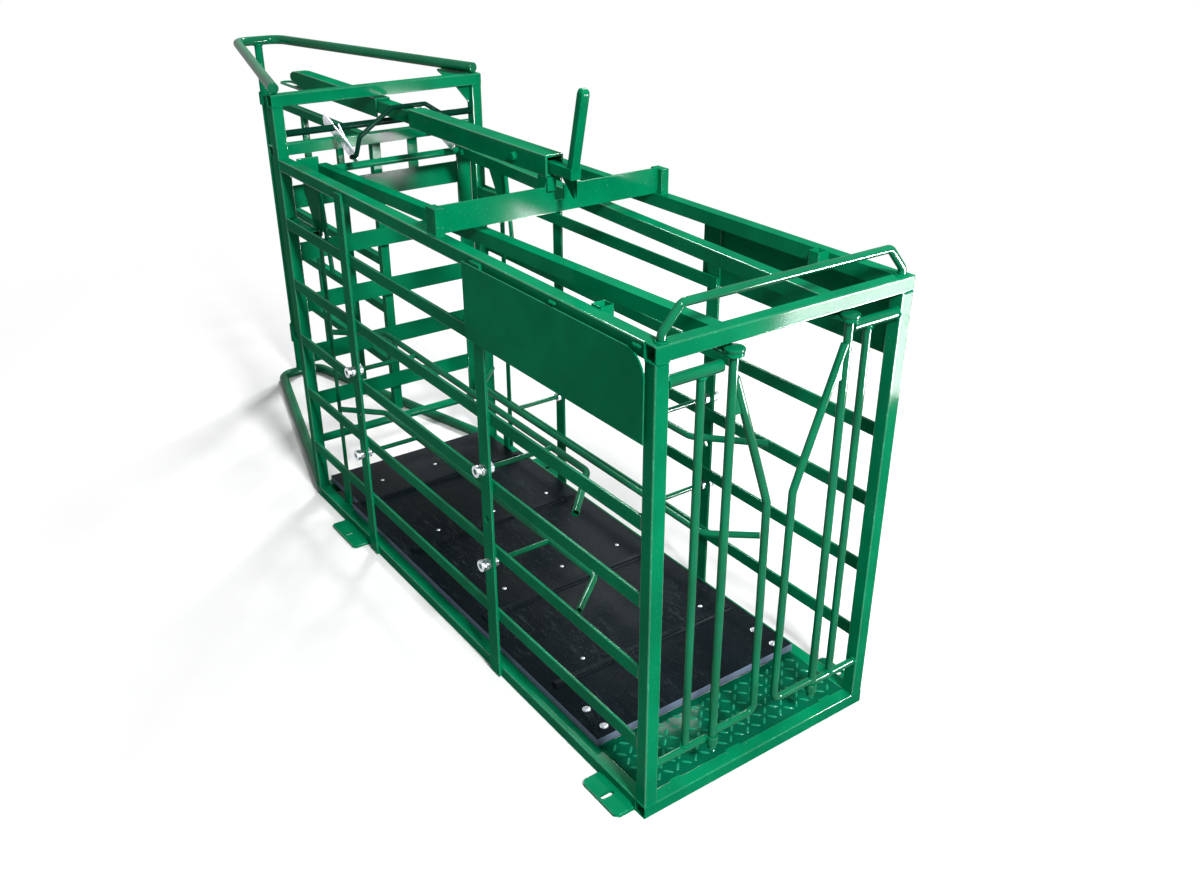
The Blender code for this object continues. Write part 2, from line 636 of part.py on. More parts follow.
def inner_rails():
    """The two rails over the back, with their cross bar, rear brackets and front straps."""
    rear_end, rear_y = INNER_RAIL_REAR
    slope = (rear_y - INNER_RAIL_FRONT_Y) / (front_x - rear_end)
    front_end = front_x - BOX - TOUCH - slope * INNER_RAIL / 2
    z = INNER_RAIL_TOP - INNER_RAIL / 2
    under = INNER_RAIL_TOP - INNER_RAIL
    solids = []
    cuts = []
    for label, side in NEAR_AND_FAR:
        front_y = rear_y - slope * (front_end - rear_end)
        start = (rear_end, side * rear_y, z)
        end = (front_end, side * front_y, z)
        solids.append(sweep((start, end), rectangle(INNER_RAIL, INNER_RAIL)))
        strap_rear = (front_x - 0.113, side * (front_y + 0.004))
        strap = slot_outline(strap_rear, (jaw_pivot_x, side * PIVOT_Y), 0.018)
        solids.append(plate(strap, "z", under - FLAT_THICKNESS - WELD_OVERLAP, under + WELD_OVERLAP))
        bore_radius = PIVOT_RADIUS + TURNING
        cuts.append(upright(jaw_pivot_x, side * PIVOT_Y, under - 0.02, under + 0.01, bore_radius))
        bracket = (rear_y + INNER_RAIL / 2 - 0.004, inner_y - TOUCH)
        bracket_z = (INNER_RAIL_TOP - 0.027, INNER_RAIL_TOP + 0.021)
        solids.append(side_box(side, (rear_end + 0.004, rear_end + 0.010), bracket, bracket_z))
        bolt = ((rear_end + 0.045, side * (rear_y - INNER_RAIL / 2 + 0.001), z))
        bolt_end = (bolt[0], side * (rear_y - INNER_RAIL / 2 - 0.010), z)
        solids.append(rod(bolt, bolt_end, 0.009, 6))
    cross_y = rear_y - INNER_RAIL / 2 + 0.003
    solids.insert(1, rod((rear_end + 0.016, -cross_y, z), (rear_end + 0.016, cross_y, z), 0.010))
    make_piece("inner_rail_frame", solids, cuts)


def bridge():
    """The plate on edge across the top rails, with its end stubs and the block under the sleeve."""
    bottom = CRATE_HEIGHT + TOUCH
    top = CRATE_HEIGHT + BRIDGE_HEIGHT
    x_range = (BRIDGE_X - FLAT_THICKNESS / 2, BRIDGE_X + FLAT_THICKNESS / 2)
    solids = [box((x_range[0], -inner_y - 0.012, bottom), (x_range[1], inner_y + 0.012, top))]
    for side in (-1, 1):
        x_stub = (BRIDGE_X - 0.020, BRIDGE_X + 0.020)
        solids.append(side_box(side, x_stub, (inner_y + 0.006, half_width - 0.003), (bottom, top - 0.001)))
    half_sleeve = SLEEVE / 2
    high = (BRIDGE_X + 0.010, -0.001, SLEEVE_BOTTOM - TOUCH)
    solids.append(box((BRIDGE_X - 0.030, -half_sleeve, top - 0.008), high))
    notch = box((x_range[0] - 0.01, 0.0, CRATE_HEIGHT + 0.026), (x_range[1] + 0.01, 0.024, top + 0.01))
    make_piece("bridge", solids, [notch])


def sleeve():
    """The fixed box tube that guides the long bar, with its clamp bolt."""
    wall = (SLEEVE - LONG_BAR) / 2 - TOUCH
    tube = box_tube((SLEEVE_REAR_X, 0, long_bar_z), (SLEEVE_FRONT_X, 0, long_bar_z), SLEEVE, SLEEVE, wall)
    face = -SLEEVE / 2
    bolt_x = SLEEVE_FRONT_X - 0.127
    washer = rod((bolt_x, face + 0.001, long_bar_z), (bolt_x, face - 0.002, long_bar_z), 0.011)
    head = rod((bolt_x, face - 0.0015, long_bar_z), (bolt_x, face - 0.009, long_bar_z), 0.009, 6)
    make_piece("lever_sleeve", [tube, washer, head])


def long_bar():
    """The sliding bar, slimmer at its front end, with the hand lever on top and a catch tongue under it."""
    half = LONG_BAR / 2
    under = long_bar_z - half
    bar = box((LONG_BAR_REAR_X, -half, under), (LEVER_BAR_REAR_X, half, long_bar_z + half))
    low = (LEVER_BAR_REAR_X - 0.010, -LEVER_BAR_WIDTH / 2, under + WELD_OVERLAP)
    slim_bar = box(low, (LONG_BAR_FRONT_X, LEVER_BAR_WIDTH / 2, under + LEVER_BAR_HEIGHT))
    foot = Vector((LONG_BAR_FRONT_X - LEVER_WIDTH / 2 - 0.002, 0.0, under + LEVER_BAR_HEIGHT / 2))
    head = Vector((foot.x + LEVER_LEAN, 0.0, LEVER_TOP))
    lean = (head - foot).normalized()
    ahead = Vector((0, 1, 0)).cross(lean)
    rings = []
    dome = ((0.0, 1.0), (-0.012, 1.0), (-0.006, 0.93), (-0.002, 0.78), (0.0, 0.50))
    for index, (drop, share) in enumerate(dome):
        centre = foot if index == 0 else head + lean * drop
        ring = []
        for u, v in rounded_rectangle(LEVER_WIDTH, LEVER_WIDTH, 0.004):
            ring.append(centre + ahead * u * share + Vector((0, 1, 0)) * v * share)
        rings.append(ring)
    tip_x = LONG_BAR_FRONT_X - 0.002
    tongue = [(tip_x - 0.050, under + 0.002), (tip_x, under + 0.002), (tip_x, under - 0.036)]
    tongue.append((tip_x - 0.003, under - 0.038))
    tongue_plate = plate(tongue, "y", -0.004, 0.004)
    pivot = (LONG_BAR_FRONT_X, 0.0, long_bar_z)
    make_piece("lever_bar", [bar, slim_bar, loft(rings), tongue_plate], pivot=pivot)


def rear_channel():
    """The inverted channel on the long bar's rear end, with a tapered nose and a flat eye below it."""
    half_bar = LONG_BAR / 2
    inner_top = long_bar_z + half_bar + TOUCH
    top = inner_top + CHANNEL_SHEET
    bottom = SLEEVE_BOTTOM - 0.005
    half = half_bar + TOUCH + CHANNEL_SHEET
    side_view = [(CHANNEL_FRONT_X, bottom), (CHANNEL_FRONT_X, top), (CHANNEL_REAR_X + 0.060, top)]
    side_view += [(CHANNEL_REAR_X + 0.022, top - 0.003), (CHANNEL_REAR_X + 0.005, top - 0.010)]
    side_view += [(CHANNEL_REAR_X, top - 0.020), (CHANNEL_REAR_X + 0.004, top - 0.030)]
    side_view.append((CHANNEL_REAR_X + 0.090, bottom))
    shell = plate(side_view, "y", -half, half)
    inside = half_bar + TOUCH
    hollow_front = CHANNEL_FRONT_X + 0.010
    inner_view = [(hollow_front, bottom - 0.010), (hollow_front, inner_top)]
    inner_view += [(CHANNEL_REAR_X + 0.064, inner_top), (CHANNEL_REAR_X + 0.024, inner_top - 0.003)]
    inner_view.append((CHANNEL_REAR_X + 0.008, inner_top - 0.010))
    inner_view.append((CHANNEL_REAR_X + 0.008, bottom - 0.010))
    hollow = plate(inner_view, "y", -inside, inside)
    eye_outline = slot_outline((CHANNEL_REAR_X - 0.085, 0.0), (CHANNEL_REAR_X + 0.150, 0.0), half)
    eye = plate(eye_outline, "z", bottom - 0.005, bottom + 0.001)
    slot = slot_outline((CHANNEL_REAR_X - 0.085, 0.0), (CHANNEL_REAR_X - 0.010, 0.0), half - 0.008)
    eye_slot = plate(slot, "z", bottom - 0.02, bottom + 0.0015)
    pivot = (CHANNEL_FRONT_X, 0.0, long_bar_z)
    combine(shell, hollow, "DIFFERENCE")
    combine(eye, eye_slot, "DIFFERENCE")
    make_piece("rear_channel", [shell, eye], pivot=pivot)


def cross_shaft():
    """The shaft through the rear posts with its two lever plates and the yoke over the long bar."""
    reach = half_width - 2.4 * BOX_WALL - 0.006
    solids = [rod((SHAFT_X, -reach, SHAFT_Z), (SHAFT_X, reach, SHAFT_Z), SHAFT_RADIUS)]
    for side in (-1, 1):
        rear_tip, front_tip = (SHAFT_X - 0.046, SHAFT_Z + 0.012), (SHAFT_X + 0.126, SHAFT_Z - 0.055)
        outline = slot_outline(rear_tip, front_tip, 0.014)
        y_range = (side * (LEVER_PLATE_Y - 0.0025), side * (LEVER_PLATE_Y + 0.0025))
        solids.append(plate(outline, "y", y_range[0], y_range[1]))
    crown_z = long_bar_z + LONG_BAR / 2 + YOKE_RADIUS + TOUCH
    foot_y = LEVER_PLATE_Y + 0.007
    half_yoke = [(YOKE_X - 0.052, foot_y, SHAFT_Z - 0.055)]
    half_yoke.append((YOKE_X - 0.010, foot_y + 0.005, SHAFT_Z - 0.043))
    half_yoke += [(YOKE_X, foot_y - 0.005, SHAFT_Z + 0.005), (YOKE_X, 0.048, crown_z)]
    near_half = [(x, -y, z) for x, y, z in half_yoke]
    far_half = list(reversed(half_yoke))
    path = bent_path(near_half + far_half, 0.010, 3)
    solids.append(sweep(path, circle(YOKE_RADIUS, 8)))
    for side in (-1, 1):
        start = (SHAFT_X + 0.002, side * (LEVER_PLATE_Y - 0.014), SHAFT_Z + 0.006)
        end = (YOKE_X - 0.044, side * (LEVER_PLATE_Y + 0.0045), SHAFT_Z - 0.0505)
        solids.append(rod(start, end, 0.0035, 8))
    make_piece("cross_shaft", solids, finish="dark_paint", pivot=(SHAFT_X, 0.0, SHAFT_Z))


def nose_path(z, start_x, end_x):
    """Plan of the nose frame: two converging legs joined by a short end with round bends."""
    corner_y = half_width - BOX / 2
    corners = [(start_x, -corner_y, z), (end_x, -NOSE_END_HALF, z), (end_x, NOSE_END_HALF, z)]
    corners.append((start_x, corner_y, z))
    return bent_path(corners, NOSE_BEND, 5)


def nose_frame():
    """The upper and lower nose frames and the post between their ends."""
    upper_z = rear_height + TOUCH + NOSE_RADIUS
    upper_end = nose_end_x
    path = nose_path(upper_z, rear_x + BOX / 2, upper_end)
    bore = circle(NOSE_RADIUS - BOX_WALL, SLIM_SIDES)
    make_piece("upper_nose_frame", [hollow_sweep(path, circle(NOSE_RADIUS, SLIM_SIDES), bore)])

    lower_z = GROUND_NOSE_RADIUS
    path = nose_path(lower_z, rear_x + BOX / 2, nose_end_x)
    sill = box((rear_x, -half_width, 0.0), (rear_x + BOX, half_width, BOX))
    make_piece("lower_nose_frame", [sill, sweep(path, circle(GROUND_NOSE_RADIUS))])

    post = upright(nose_end_x, 0.0, lower_z + 0.008, upper_z - 0.008, NOSE_POST_RADIUS)
    collar = upright(nose_end_x, 0.0, NOSE_COLLAR_HEIGHTS[0], NOSE_COLLAR_HEIGHTS[1], NOSE_COLLAR_RADIUS)
    copes = []
    for z, radius in ((lower_z, GROUND_NOSE_RADIUS), (upper_z, NOSE_RADIUS)):
        copes.append(rod((nose_end_x, -0.03, z), (nose_end_x, 0.03, z), radius + TOUCH))
    make_piece("nose_post", [post, collar], copes)


def drafting_leaf():
    """The steering leaf: level bars and uprights, with two collars that turn on the nose post."""
    half = LEAF_BAR / 2
    hinge_x = nose_end_x + 0.040
    free_end = LEAF_FREE_X + half
    solids = [box((hinge_x - half, -half, LEAF_BOTTOM), (hinge_x + half, half, LEAF_TOP))]
    for bottom in [LEAF_TOP - LEAF_BAR] + [share * CRATE_HEIGHT for share in LEAF_BAR_SHARES]:
        high = (free_end - 0.002, half - 0.002, bottom + LEAF_BAR - 0.001)
        solids.append(box((hinge_x, -half + 0.002, bottom), high))
    solids.append(box((LEAF_FREE_X - half, -half, LEAF_BOTTOM), (free_end, half, LEAF_TOP)))
    for share in (0.365, 0.686):
        x = hinge_x + share * (LEAF_FREE_X - hinge_x)
        solids.append(box((x - 0.009, -0.009, LEAF_BOTTOM + 0.01), (x + 0.009, 0.009, LEAF_TOP - 0.003)))
    bores = []
    lower_collar = NOSE_COLLAR_HEIGHTS[1] + TOUCH
    for bottom, top in ((lower_collar, lower_collar + 0.045), (LEAF_TOP - 0.035, LEAF_TOP + 0.004)):
        solids.append(box((nose_end_x, -0.007, bottom + 0.004), (hinge_x, 0.007, top - 0.004)))
        solids.append(upright(nose_end_x, 0.0, bottom, top, NOSE_COLLAR_RADIUS))
        bores.append(upright(nose_end_x, 0.0, bottom - 0.01, top + 0.01, NOSE_POST_RADIUS + TURNING))
    make_piece("drafting_leaf", solids, bores, pivot=(nose_end_x, 0.0, 0.0))


def rear_gate():
    """The slatted gate behind the rear posts, hung by two rollers in a slotted track."""
    track_x = (GATE_X - 0.015, GATE_X + 0.015)
    bottom, top = TRACK_BOTTOM, TRACK_BOTTOM + TRACK_HEIGHT
    slot = (GATE_X - TRACK_SLOT / 2, GATE_X + TRACK_SLOT / 2)
    inner = (track_x[0] + TRACK_WALL, track_x[1] - TRACK_WALL)
    section = [(slot[0], bottom), (slot[0], bottom + TRACK_WALL), (inner[0], bottom + TRACK_WALL)]
    section += [(inner[0], top - TRACK_WALL), (inner[1], top - TRACK_WALL), (inner[1], bottom + TRACK_WALL)]
    section += [(slot[1], bottom + TRACK_WALL), (slot[1], bottom), (track_x[1], bottom), (track_x[1], top)]
    section += [(track_x[0], top), (track_x[0], bottom)]
    make_piece("gate_track", [plate(section, "y", -half_width, half_width)])

    sheet = (GATE_X - GATE_SHEET / 2, GATE_X + GATE_SHEET / 2)
    stile_x = (sheet[1] - WELD_OVERLAP, sheet[1] + 0.0055)
    tube_z = 0.165
    solids = [rod((GATE_X, GATE_NEAR_Y, tube_z), (GATE_X, GATE_FAR_Y, tube_z), 0.012)]
    for y_range in ((GATE_NEAR_Y + 0.001, GATE_NEAR_Y + 0.031), (GATE_FAR_Y - 0.045, GATE_FAR_Y - 0.001)):
        solids.append(box((stile_x[0], y_range[0], tube_z), (stile_x[1], y_range[1], CRATE_HEIGHT - 0.060)))
    slats = [(low * CRATE_HEIGHT, high * CRATE_HEIGHT) for low, high in GATE_SLAT_SHARES]
    for low, high in slats:
        solids.append(box((sheet[0], GATE_NEAR_Y, low), (sheet[1], GATE_FAR_Y, high)))
    roller_radius = 0.009
    roller_z = bottom + TRACK_WALL + TOUCH + roller_radius
    slat_top = slats[-1][1]
    for y in HANGER_Y:
        low = (sheet[0] + 0.0002, y - HANGER_WIDTH / 2, slat_top - 0.030)
        solids.append(box(low, (sheet[1] - 0.0002, y + HANGER_WIDTH / 2, roller_z + 0.002)))
        reach = TRACK_SLOT / 2 + 0.0045
        solids.append(rod((GATE_X - reach, y, roller_z), (GATE_X + reach, y, roller_z), roller_radius))
    make_piece("rear_gate", solids, pivot=(GATE_X, 0.0, roller_z))


def front_wings():
    """Fixed wings beside the jaws: top tube, upright rod, and a foot rod that carries the jaw's eye."""
    outer = inner_y - TOUCH
    foot_z = EYE_BOTTOM + EYE_THICKNESS / 2
    for label, side in NEAR_AND_FAR:
        top_end = (WING_X, side * (PIVOT_Y + 0.018), WING_TOP_Z)
        solids = [rod((WING_X, side * outer, WING_TOP_Z), top_end, 0.011)]
        solids.append(upright(WING_X, side * WING_ROD_Y, foot_z, WING_TOP_Z, JAW_ROD_RADIUS))
        foot_end = (WING_X, side * (PIVOT_Y + 0.008), foot_z)
        solids.append(rod((WING_X, side * outer, foot_z), foot_end, WING_FOOT_RADIUS))
        eye_top = EYE_BOTTOM + EYE_THICKNESS
        solids.append(upright(jaw_pivot_x, side * PIVOT_Y, EYE_BOTTOM, eye_top, EYE_RADIUS))
        bore_radius = PIVOT_RADIUS + TURNING
        bore = upright(jaw_pivot_x, side * PIVOT_Y, EYE_BOTTOM - 0.01, eye_top + 0.01, bore_radius)
        make_piece(label + "_front_wing", solids, [bore])


def jaws():
    """Swinging jaws: a pivot rod in the wing's eye, hung by its cap on the strap, and a bent rod."""
    cap_bottom = INNER_RAIL_TOP - INNER_RAIL + WELD_OVERLAP + TOUCH
    foot_z = EYE_BOTTOM + EYE_THICKNESS + 0.010
    heights = [CRATE_HEIGHT * share for share in (0.815, 0.687, 0.630)] + [foot_z]
    bends = {"near": (0.725, 0.400, 0.260, 0.217), "far": (0.710, 0.362, 0.217, 0.196)}
    for label, side in NEAR_AND_FAR:
        pivot_y = side * PIVOT_Y
        solids = [upright(jaw_pivot_x, pivot_y, EYE_BOTTOM - 0.015, cap_bottom + 0.001, PIVOT_RADIUS)]
        solids.append(upright(jaw_pivot_x, pivot_y, cap_bottom, cap_bottom + 0.007, cap_radius))
        corners = [(jaw_pivot_x, pivot_y - side * 0.006, CRATE_HEIGHT - 0.095)]
        corners += [(jaw_pivot_x, pivot_y * share, z) for share, z in zip(bends[label], heights)]
        corners.append((jaw_pivot_x, pivot_y - side * 0.004, foot_z))
        solids.append(sweep(bent_path(corners, 0.018, 3), circle(JAW_ROD_RADIUS, 12), (1, 0, 0)))
        gusset_top, gusset_bottom = CRATE_HEIGHT - 0.105, CRATE_HEIGHT - 0.165
        gusset = [(pivot_y - side * 0.004, gusset_top), (pivot_y - side * 0.004, gusset_bottom)]
        gusset += [(pivot_y * 0.783, gusset_bottom), (pivot_y * 0.877, gusset_top)]
        solids.append(plate(gusset, "x", jaw_pivot_x - 0.0025, jaw_pivot_x + 0.0025))
        make_piece(label + "_jaw", solids, pivot=(jaw_pivot_x, pivot_y, 0.0))


def hoop():
    """The low round hoop that stands on the front top beam."""
    x = front_x - BOX / 2
    foot = half_width - 0.022
    corners = [(x, -foot, CRATE_HEIGHT + TOUCH), (x, -foot, CRATE_HEIGHT + 0.014)]
    corners.append((x, 0.062 - half_width, HOOP_TOP))
    corners += [(x, -y, z) for x, y, z in reversed(corners)]
    path = bent_path(corners, 0.018, 3)
    make_piece("front_hoop", [sweep(path, circle(HOOP_RADIUS, 12), (1, 0, 0))])


def ties():
    """Tapered hanger plates inside the rear bay, each with a bright rod and a strip to a foot bracket."""
    face = (inner_y - TOUCH - 0.005, inner_y - TOUCH)
    middle = rear_x + 0.161
    plate_top, plate_bottom = CRATE_HEIGHT - 0.015, CRATE_HEIGHT - 0.170
    for label, side in NEAR_AND_FAR:
        outline = [(middle - 0.058, plate_top), (middle + 0.042, plate_top)]
        outline.append((middle + 0.042, plate_top - 0.045))
        outline += [(middle + 0.024, plate_bottom), (middle + 0.002, plate_bottom)]
        outline.append((middle - 0.058, plate_top - 0.055))
        solids = [plate(outline, "y", side * face[0], side * face[1])]
        strip_y = (face[0] + 0.001, face[1] - 0.0002)
        solids.append(side_box(side, (middle, middle + 0.020), strip_y, (0.060, plate_bottom + 0.020)))
        bracket_y = (face[0] - 0.006, face[1])
        solids.append(side_box(side, (middle - 0.026, middle + 0.038), bracket_y, (0.008, 0.024)))
        upstand_y = (bracket_y[0] + 0.001, bracket_y[1] - 0.0001)
        solids.append(side_box(side, (middle - 0.022, middle + 0.006), upstand_y, (0.020, 0.112)))
        rod_y = side * (face[0] + 0.0005)
        rod_top = (middle + 0.036, rod_y, plate_top - 0.025)
        rod_low = (middle + 0.064, rod_y, CRATE_HEIGHT - 0.260)
        solids.append(rod(rod_top, rod_low, 0.006, 12, (0, 1, 0)))
        make_piece(label + "_tie", solids)


def clear_scene():
    """Removes whatever the scene holds."""
    for item in list(bpy.data.objects):
        bpy.data.objects.remove(item)


clear_scene()
corner_posts()
mid_posts()
rails()
cross_beams()
side_bars()
side_panels()
adjuster_bushes()
squeeze_bars()
floor()
inner_rails()
bridge()
sleeve()
long_bar()
rear_channel()
cross_shaft()
nose_frame()
drafting_leaf()
rear_gate()
front_wings()
jaws()
hoop()
ties()
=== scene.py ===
"""Sheep drafting crate: the looks of each piece, built over the fixed model.

Lengths are in metres, +X points to the end with the jaws, +Y to the far side and +Z up.
Places are counted from the middle of the crate's own footprint.
make_piece moves them into the model's frame.
"""
import json
import math

import bmesh
import bpy
import numpy as np
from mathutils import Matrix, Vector

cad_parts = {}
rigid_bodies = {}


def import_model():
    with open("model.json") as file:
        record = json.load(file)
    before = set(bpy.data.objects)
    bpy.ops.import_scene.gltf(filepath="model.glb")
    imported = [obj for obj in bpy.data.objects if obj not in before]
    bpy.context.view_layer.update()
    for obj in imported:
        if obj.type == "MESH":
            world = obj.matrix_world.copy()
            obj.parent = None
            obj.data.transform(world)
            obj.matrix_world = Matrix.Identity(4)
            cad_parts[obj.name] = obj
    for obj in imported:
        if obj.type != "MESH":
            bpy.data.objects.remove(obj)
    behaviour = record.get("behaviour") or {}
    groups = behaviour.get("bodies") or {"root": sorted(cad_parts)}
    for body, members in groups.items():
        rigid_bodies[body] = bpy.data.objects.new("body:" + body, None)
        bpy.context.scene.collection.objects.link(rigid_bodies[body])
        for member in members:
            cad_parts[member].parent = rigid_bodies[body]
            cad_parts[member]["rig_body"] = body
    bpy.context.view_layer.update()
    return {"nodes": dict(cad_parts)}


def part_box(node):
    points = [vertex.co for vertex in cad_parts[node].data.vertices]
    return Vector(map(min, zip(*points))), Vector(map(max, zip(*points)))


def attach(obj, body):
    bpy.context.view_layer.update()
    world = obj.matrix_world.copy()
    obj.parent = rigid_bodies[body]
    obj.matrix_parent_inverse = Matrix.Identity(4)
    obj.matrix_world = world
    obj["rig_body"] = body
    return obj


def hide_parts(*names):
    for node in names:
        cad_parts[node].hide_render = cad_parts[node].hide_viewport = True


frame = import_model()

# Bottom frame: two rails and a front beam of 30 mm box tube, cut square and arc welded, with flat foot lugs.
# The crate is sprayed deep green after welding, so the paint has a light orange peel and small dust nibs.
crate_x = (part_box("front_top_beam")[1].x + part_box("near_rear_post")[0].x) / 2
PAINT_GREEN = (0.0008, 0.230, 0.096, 1.0)
PAINT_DEEP = (0.0005, 0.165, 0.069, 1.0)
PAINT_WORN = (0.030, 0.400, 0.230, 1.0)


class Signal:
    """One output socket of a material's node tree. Arithmetic on it adds the Math nodes."""

    def __init__(self, tree, socket=None):
        self.tree = tree
        self.socket = socket

    def node(self, kind, settings=None, values=None, output=0):
        """Adds a node, sets its settings first and its sockets next, and wraps one of its outputs."""
        made = self.tree.nodes.new(kind)
        for key, value in (settings or {}).items():
            setattr(made, key, value)
        for key, value in (values or {}).items():
            if isinstance(value, Signal):
                self.tree.links.new(value.socket, made.inputs[key])
            else:
                made.inputs[key].default_value = value
        return Signal(self.tree, made.outputs[output])

    def maths(self, operation, first, second=0.0):
        return self.node("ShaderNodeMath", {"operation": operation}, {0: first, 1: second})

    def __add__(self, other):
        return self.maths("ADD", self, other)

    def __radd__(self, other):
        return self.maths("ADD", other, self)

    def __rsub__(self, other):
        return self.maths("SUBTRACT", other, self)

    def __mul__(self, other):
        return self.maths("MULTIPLY", self, other)

    def __rmul__(self, other):
        return self.maths("MULTIPLY", other, self)

    def between(self, low, high):
        """A soft step from 0 at low to 1 at high."""
        values = {"Value": self, "From Min": low, "From Max": high}
        return self.node("ShaderNodeMapRange", {"interpolation_type": "SMOOTHSTEP"}, values)

    def blend(self, first, second):
        """The first colour where this signal is 0 and the second where it is 1."""
        return self.node("ShaderNodeMix", {"data_type": "RGBA"}, {0: self, 6: first, 7: second}, 2)

    def noise(self, scale, detail=2.0, roughness=0.5):
        """Cloudy noise at this place signal, with the number of its waves in a metre."""
        values = {"Vector": self, "Scale": scale, "Detail": detail, "Roughness": roughness}
        return self.node("ShaderNodeTexNoise", None, values)

    def bump(self, depth):
        """A normal that follows this signal as a height, with its depth in metres."""
        return self.node("ShaderNodeBump", None, {"Height": self, "Distance": depth, "Strength": 1.0})


def new_material(name):
    """An empty Principled material, with a signal to build from and its object coordinates."""
    material = bpy.data.materials.new(name)
    material.use_nodes = True
    surface = material.node_tree.nodes["Principled BSDF"]
    start = Signal(material.node_tree)
    return material, surface, start, start.node("ShaderNodeTexCoord", output="Object")


def feed(surface, **inputs):
    """Links signals to the surface's sockets, and sets plain numbers and colours on them."""
    for key, value in inputs.items():
        socket = surface.inputs[key.replace("_", " ")]
        if isinstance(value, Signal):
            value.tree.links.new(value.socket, socket)
        else:
            socket.default_value = value


def gloss_paint(name, light=PAINT_GREEN, deep=PAINT_DEEP, worn=PAINT_WORN, ripple=0.000008, gloss=0.17,
                speckle=0.0, sheen=0.04):
    """Sprayed enamel: cloudy depth of colour, orange peel, dust nibs, bright edges and dried speckles."""
    material, surface, start, place = new_material(name)
    cloud = place.noise(5.5, 3.0, 0.6).between(0.30, 0.72)
    film = place.noise(38.0, 3.0, 0.55)
    peel = place.noise(260.0, 2.0, 0.45)
    nibs = place.noise(540.0, 1.0, 0.4).between(0.74, 0.80)
    edge = start.node("ShaderNodeAttribute", {"attribute_name": "edge"}, None, "Fac")
    rubbed = edge * place.noise(95.0, 4.0, 0.7).between(0.52, 0.68)
    colour = cloud.blend(deep, light)
    colour = (0.55 * rubbed).blend(colour, worn)
    colour = (0.30 * nibs).blend(colour, worn)
    if speckle:
        drops = place.noise(190.0, 3.0, 0.7).between(0.64, 0.72)
        colour = (speckle * drops).blend(colour, (0.30, 0.52, 0.40, 1.0))
    height = peel + 0.7 * film + 1.5 * nibs
    roughness = gloss + 0.14 * film.between(0.35, 0.75) + 0.20 * rubbed
    feed(surface, Base_Color=colour, Roughness=roughness, Normal=height.bump(ripple))
    feed(surface, Coat_Weight=sheen + 0.75 * edge, Coat_Roughness=0.10, IOR=1.5, Specular_IOR_Level=0.0)
    return material


def make_piece(name, points, faces, body, material, slot, angle=38.0):
    """A mesh from points and faces, in place and riding on its body. Edges above the angle stay sharp."""
    mesh = bpy.data.meshes.new(name)
    placed = np.asarray(points, float) + np.array([crate_x, 0.0, 0.0])
    mesh.from_pydata(placed.tolist(), [], faces)
    mesh.materials.append(material)
    piece = bpy.data.objects.new(name, mesh)
    bpy.context.scene.collection.objects.link(piece)
    mesh.shade_smooth()
    mesh.set_sharp_from_angle(angle=math.radians(angle))
    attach(piece, body)
    return piece


def room(edge):
    """The least distance from an edge to the other corners of its two faces."""
    start, end = (np.array(corner.co) for corner in edge.verts)
    corners = [corner for face in edge.link_faces for corner in face.verts if corner not in edge.verts]
    others = np.array([corner.co for corner in corners])
    along = end - start
    share = np.clip((others - start) @ along / (along @ along), 0.0, 1.0)
    return np.linalg.norm(others - start - share[:, None] * along, axis=1).min()


def soften(node, material, radius, shortest=0.018):
    """A copy of a solid with its triangles merged, and its long outer edges rounded where there is room."""
    same_point, same_plane, outer_corner = 0.000002, math.radians(0.4), math.radians(40)
    solid = bmesh.new()
    solid.from_mesh(frame["nodes"][node].data)
    bmesh.ops.remove_doubles(solid, verts=solid.verts, dist=same_point)
    bmesh.ops.dissolve_limit(solid, angle_limit=same_plane, verts=solid.verts, edges=solid.edges)
    rounded = []
    for edge in solid.edges:
        if edge.is_manifold and edge.is_convex and edge.calc_length() > shortest:
            if edge.calc_face_angle() > outer_corner and room(edge) > 2.1 * radius:
                rounded.append(edge)
    mark = solid.faces.layers.float.new("edge")
    made = bmesh.ops.bevel(solid, geom=rounded, offset=radius, segments=2, profile=0.5,
                           affect="EDGES", clamp_overlap=False)
    for face in made["faces"]:
        face[mark] = 1.0
    mesh = bpy.data.meshes.new(node + "_skin")
    solid.to_mesh(mesh)
    solid.free()
    mesh.shade_smooth()
    mesh.set_sharp_from_angle(angle=math.radians(42))
    mesh.materials.clear()
    mesh.materials.append(material)
    piece = bpy.data.objects.new(node + "_skin", mesh)
    bpy.context.scene.collection.objects.link(piece)
    normals = piece.modifiers.new("flat faces", "WEIGHTED_NORMAL")
    normals.keep_sharp = True
    normals.weight = 80
    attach(piece, frame["nodes"][node]["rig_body"])
    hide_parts(node)
    return piece


frame_paint = gloss_paint("green enamel", speckle=0.16)
for node in ("near_bottom_rail", "far_bottom_rail", "front_bottom_beam"):
    soften(node, frame_paint, radius=0.0022)

# Corner posts, top rails and cross beams: the same box tube, cut square, standing on the bottom frame.
# They are arc welded at the corners, and the front beams' ends are left open.
for node in ("near_front_post", "far_front_post", "near_rear_post", "far_rear_post", "near_top_rail",
             "far_top_rail", "front_top_beam", "rear_crossbar"):
    soften(node, frame_paint, radius=0.0025)

# Side walls: rolled flats between the corner posts, and two wider upright flats outside them as middle posts.
# The sheets over the front bay are cut from 3 mm plate with one round top corner, and welded on.
SIDES = (("near", -1), ("far", 1))
MID_POSTS_X = (-0.400, 0.242)
for side, _ in SIDES:
    for letter in "abcde":
        soften(side + "_side_bar_" + letter, frame_paint, radius=0.0010)
    for place in ("rear", "front"):
        soften(side + "_mid_post_" + place, frame_paint, radius=0.0010)
panel_paint = gloss_paint("panel enamel", ripple=0.000012, gloss=0.15)
for side, _ in SIDES:
    soften(side + "_side_panel", panel_paint, radius=0.0007)

